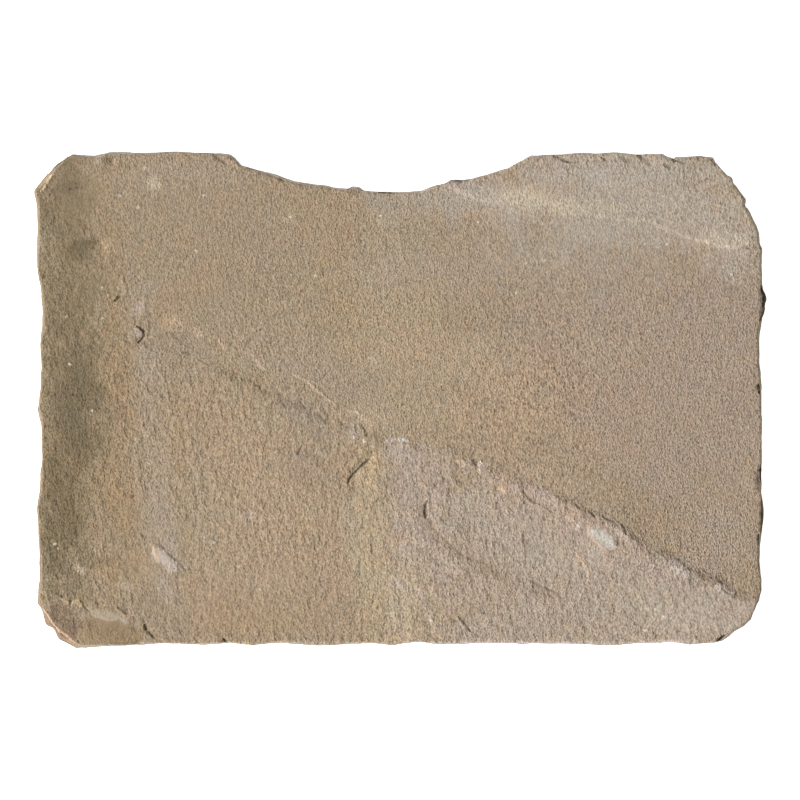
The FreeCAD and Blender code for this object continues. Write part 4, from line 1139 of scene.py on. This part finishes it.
def grain(shader, place, side):
    """The height of the grain and the bedding, in metres, and the shade that they give the colour."""
    weaker = shader.ramp(side, SIDE_GRAIN_FROM, 1, 1, SIDE_GRAIN)
    strength = shader.math("MULTIPLY", shader.attribute("grain_strength"), weaker)
    step = shader.attribute("step_distance")
    shade = 1.0
    height = 0.0
    for wave, stretch, share, upper_height, lower_height in GRAIN:
        run = shader.add("ShaderNodeMapping", {"vector_type": "TEXTURE"}, Vector=place)
        run.inputs["Rotation"].default_value = (0, 0, math.radians(GRAIN_HEADING))
        run.inputs["Scale"].default_value = (stretch, 1, 1)
        bumps = shader.math("MULTIPLY", shader.noise(run.outputs[0], wave, 0, GRAIN_DISTORTION), strength)
        reach = shader.ramp(step, -GRAIN_BLEND, GRAIN_BLEND, upper_height * MM, lower_height * MM)
        height = shader.math("ADD", shader.math("MULTIPLY", bumps, reach), height)
        shade = shader.math("ADD", shader.math("MULTIPLY", bumps, share * NOISE_GAIN), shade)
    squash = (1, 1, BEDDING_SQUASH)
    bedded = shader.add("ShaderNodeVectorMath", {"operation": "MULTIPLY"}, _0=place, _1=squash).outputs[0]
    bedding = shader.math("MULTIPLY", shader.noise(bedded, BEDDING_WAVE, 2), side)
    height = shader.math("ADD", height, shader.math("MULTIPLY", bedding, BEDDING_HEIGHT * MM))
    shade = shader.math("ADD", shader.math("MULTIPLY", bedding, BEDDING_SHADE), shade)
    return height, shader.math("MAXIMUM", shade, DARKEST_SHADE)


def sandstone():
    shader = Shader("riven_sandstone")
    place = shader.add("ShaderNodeTexCoord").outputs["Object"]
    place = shader.add("ShaderNodeVectorMath", {"operation": "SCALE"}, _0=place, Scale=1 / MM).outputs[0]
    side = shader.attribute("side_share")
    colour = tinted(shader, shader.attribute("broad_colour", "Color"), place)
    colour = shader.mix(shader.math("MULTIPLY", side, SIDE_COLOUR_SHARE), colour, side_colour(shader, place))
    marks = shader.add("ShaderNodeAttribute", {"attribute_name": "mark_colour"}).outputs
    colour = shader.mix(marks["Alpha"], colour, (0, 0, 0, 1))
    colour = shader.mix(1.0, colour, marks["Color"], "ADD")
    height, shade = grain(shader, place, side)
    grey = shader.add("ShaderNodeCombineColor", None, _0=shade, _1=shade, _2=shade).outputs[0]
    colour = shader.mix(1.0, colour, grey, "MULTIPLY")
    bump = shader.add("ShaderNodeBump", None, Strength=1.0, Distance=1.0, Height=height).outputs[0]
    surface = shader.add(
        "ShaderNodeBsdfPrincipled", None, Base_Color=colour, Roughness=STONE_ROUGHNESS, Normal=bump,
        Specular_IOR_Level=STONE_SPECULAR,
    )
    shader.add("ShaderNodeOutputMaterial", None, Surface=surface.outputs[0])
    return shader.material


broadly_coloured(stone_mesh)
stone_mesh.materials.clear()
stone_mesh.materials.append(sandstone())
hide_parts("flagstone")
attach(stone, "root")


# The floor

FLOOR_HALF_SIDE = 6
FLOOR_COLOUR = (0.9, 0.9, 0.9, 1)
FLOOR_ROUGHNESS = 0.9
FLOOR_GLOW = 0.72


def pale_floor():
    shader = Shader("pale_floor")
    surface = shader.add(
        "ShaderNodeBsdfPrincipled", None, Base_Color=FLOOR_COLOUR, Roughness=FLOOR_ROUGHNESS,
        Emission_Color=(1, 1, 1, 1), Emission_Strength=FLOOR_GLOW,
    )
    shader.add("ShaderNodeOutputMaterial", None, Surface=surface.outputs[0])
    return shader.material


floor_mesh = bpy.data.meshes.new("floor")
floor_shape = bmesh.new()
bmesh.ops.create_grid(floor_shape, x_segments=1, y_segments=1, size=FLOOR_HALF_SIDE)
floor_shape.to_mesh(floor_mesh)
floor_shape.free()
floor_mesh.materials.append(pale_floor())
floor = bpy.data.objects.new("floor", floor_mesh)
bpy.context.scene.collection.objects.link(floor)

# Light and camera. The sun comes from the left: its heading, rise and softness are in degrees
KEY_FROM = 193.0
KEY_RISE = 36.0
KEY_SOFTNESS = 8.0
KEY_STRENGTH = 3.04
KEY_COLOUR = (1.0, 1.0, 1.0)
FILL_STRENGTH = 0.46
FILL_COLOUR = (1.0, 1.0, 1.0, 1)
PIXEL_FILTER = 1.15
LENS = 200.0
SENSOR = 36.0
FURTHEST_VIEW = 50

key_data = bpy.data.lights.new("key", "SUN")
key_data.energy = KEY_STRENGTH
key_data.color = KEY_COLOUR
key_data.angle = math.radians(KEY_SOFTNESS)
key = bpy.data.objects.new("key", key_data)
key.rotation_euler = (0, math.radians(90 - KEY_RISE), math.radians(KEY_FROM))
bpy.context.scene.collection.objects.link(key)

world = bpy.data.worlds.new("studio")
world.use_nodes = True
background = world.node_tree.nodes["Background"]
background.inputs["Color"].default_value = FILL_COLOUR
background.inputs["Strength"].default_value = FILL_STRENGTH
bpy.context.scene.world = world
bpy.context.scene.view_settings.view_transform = "Standard"
bpy.context.scene.cycles.use_denoising = False
bpy.context.scene.cycles.filter_width = PIXEL_FILTER

camera_data = bpy.data.cameras.new("camera")
camera_data.lens = LENS
camera_data.sensor_width = SENSOR
camera_data.clip_end = FURTHEST_VIEW
camera = bpy.data.objects.new("camera", camera_data)
widest_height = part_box("flagstone")[1].z / 2
view_height = PHOTO_SIDE * PIXEL * MM * LENS / SENSOR
camera.location = (0, 0, widest_height + view_height)
bpy.context.scene.collection.objects.link(camera)
bpy.context.scene.camera = camera
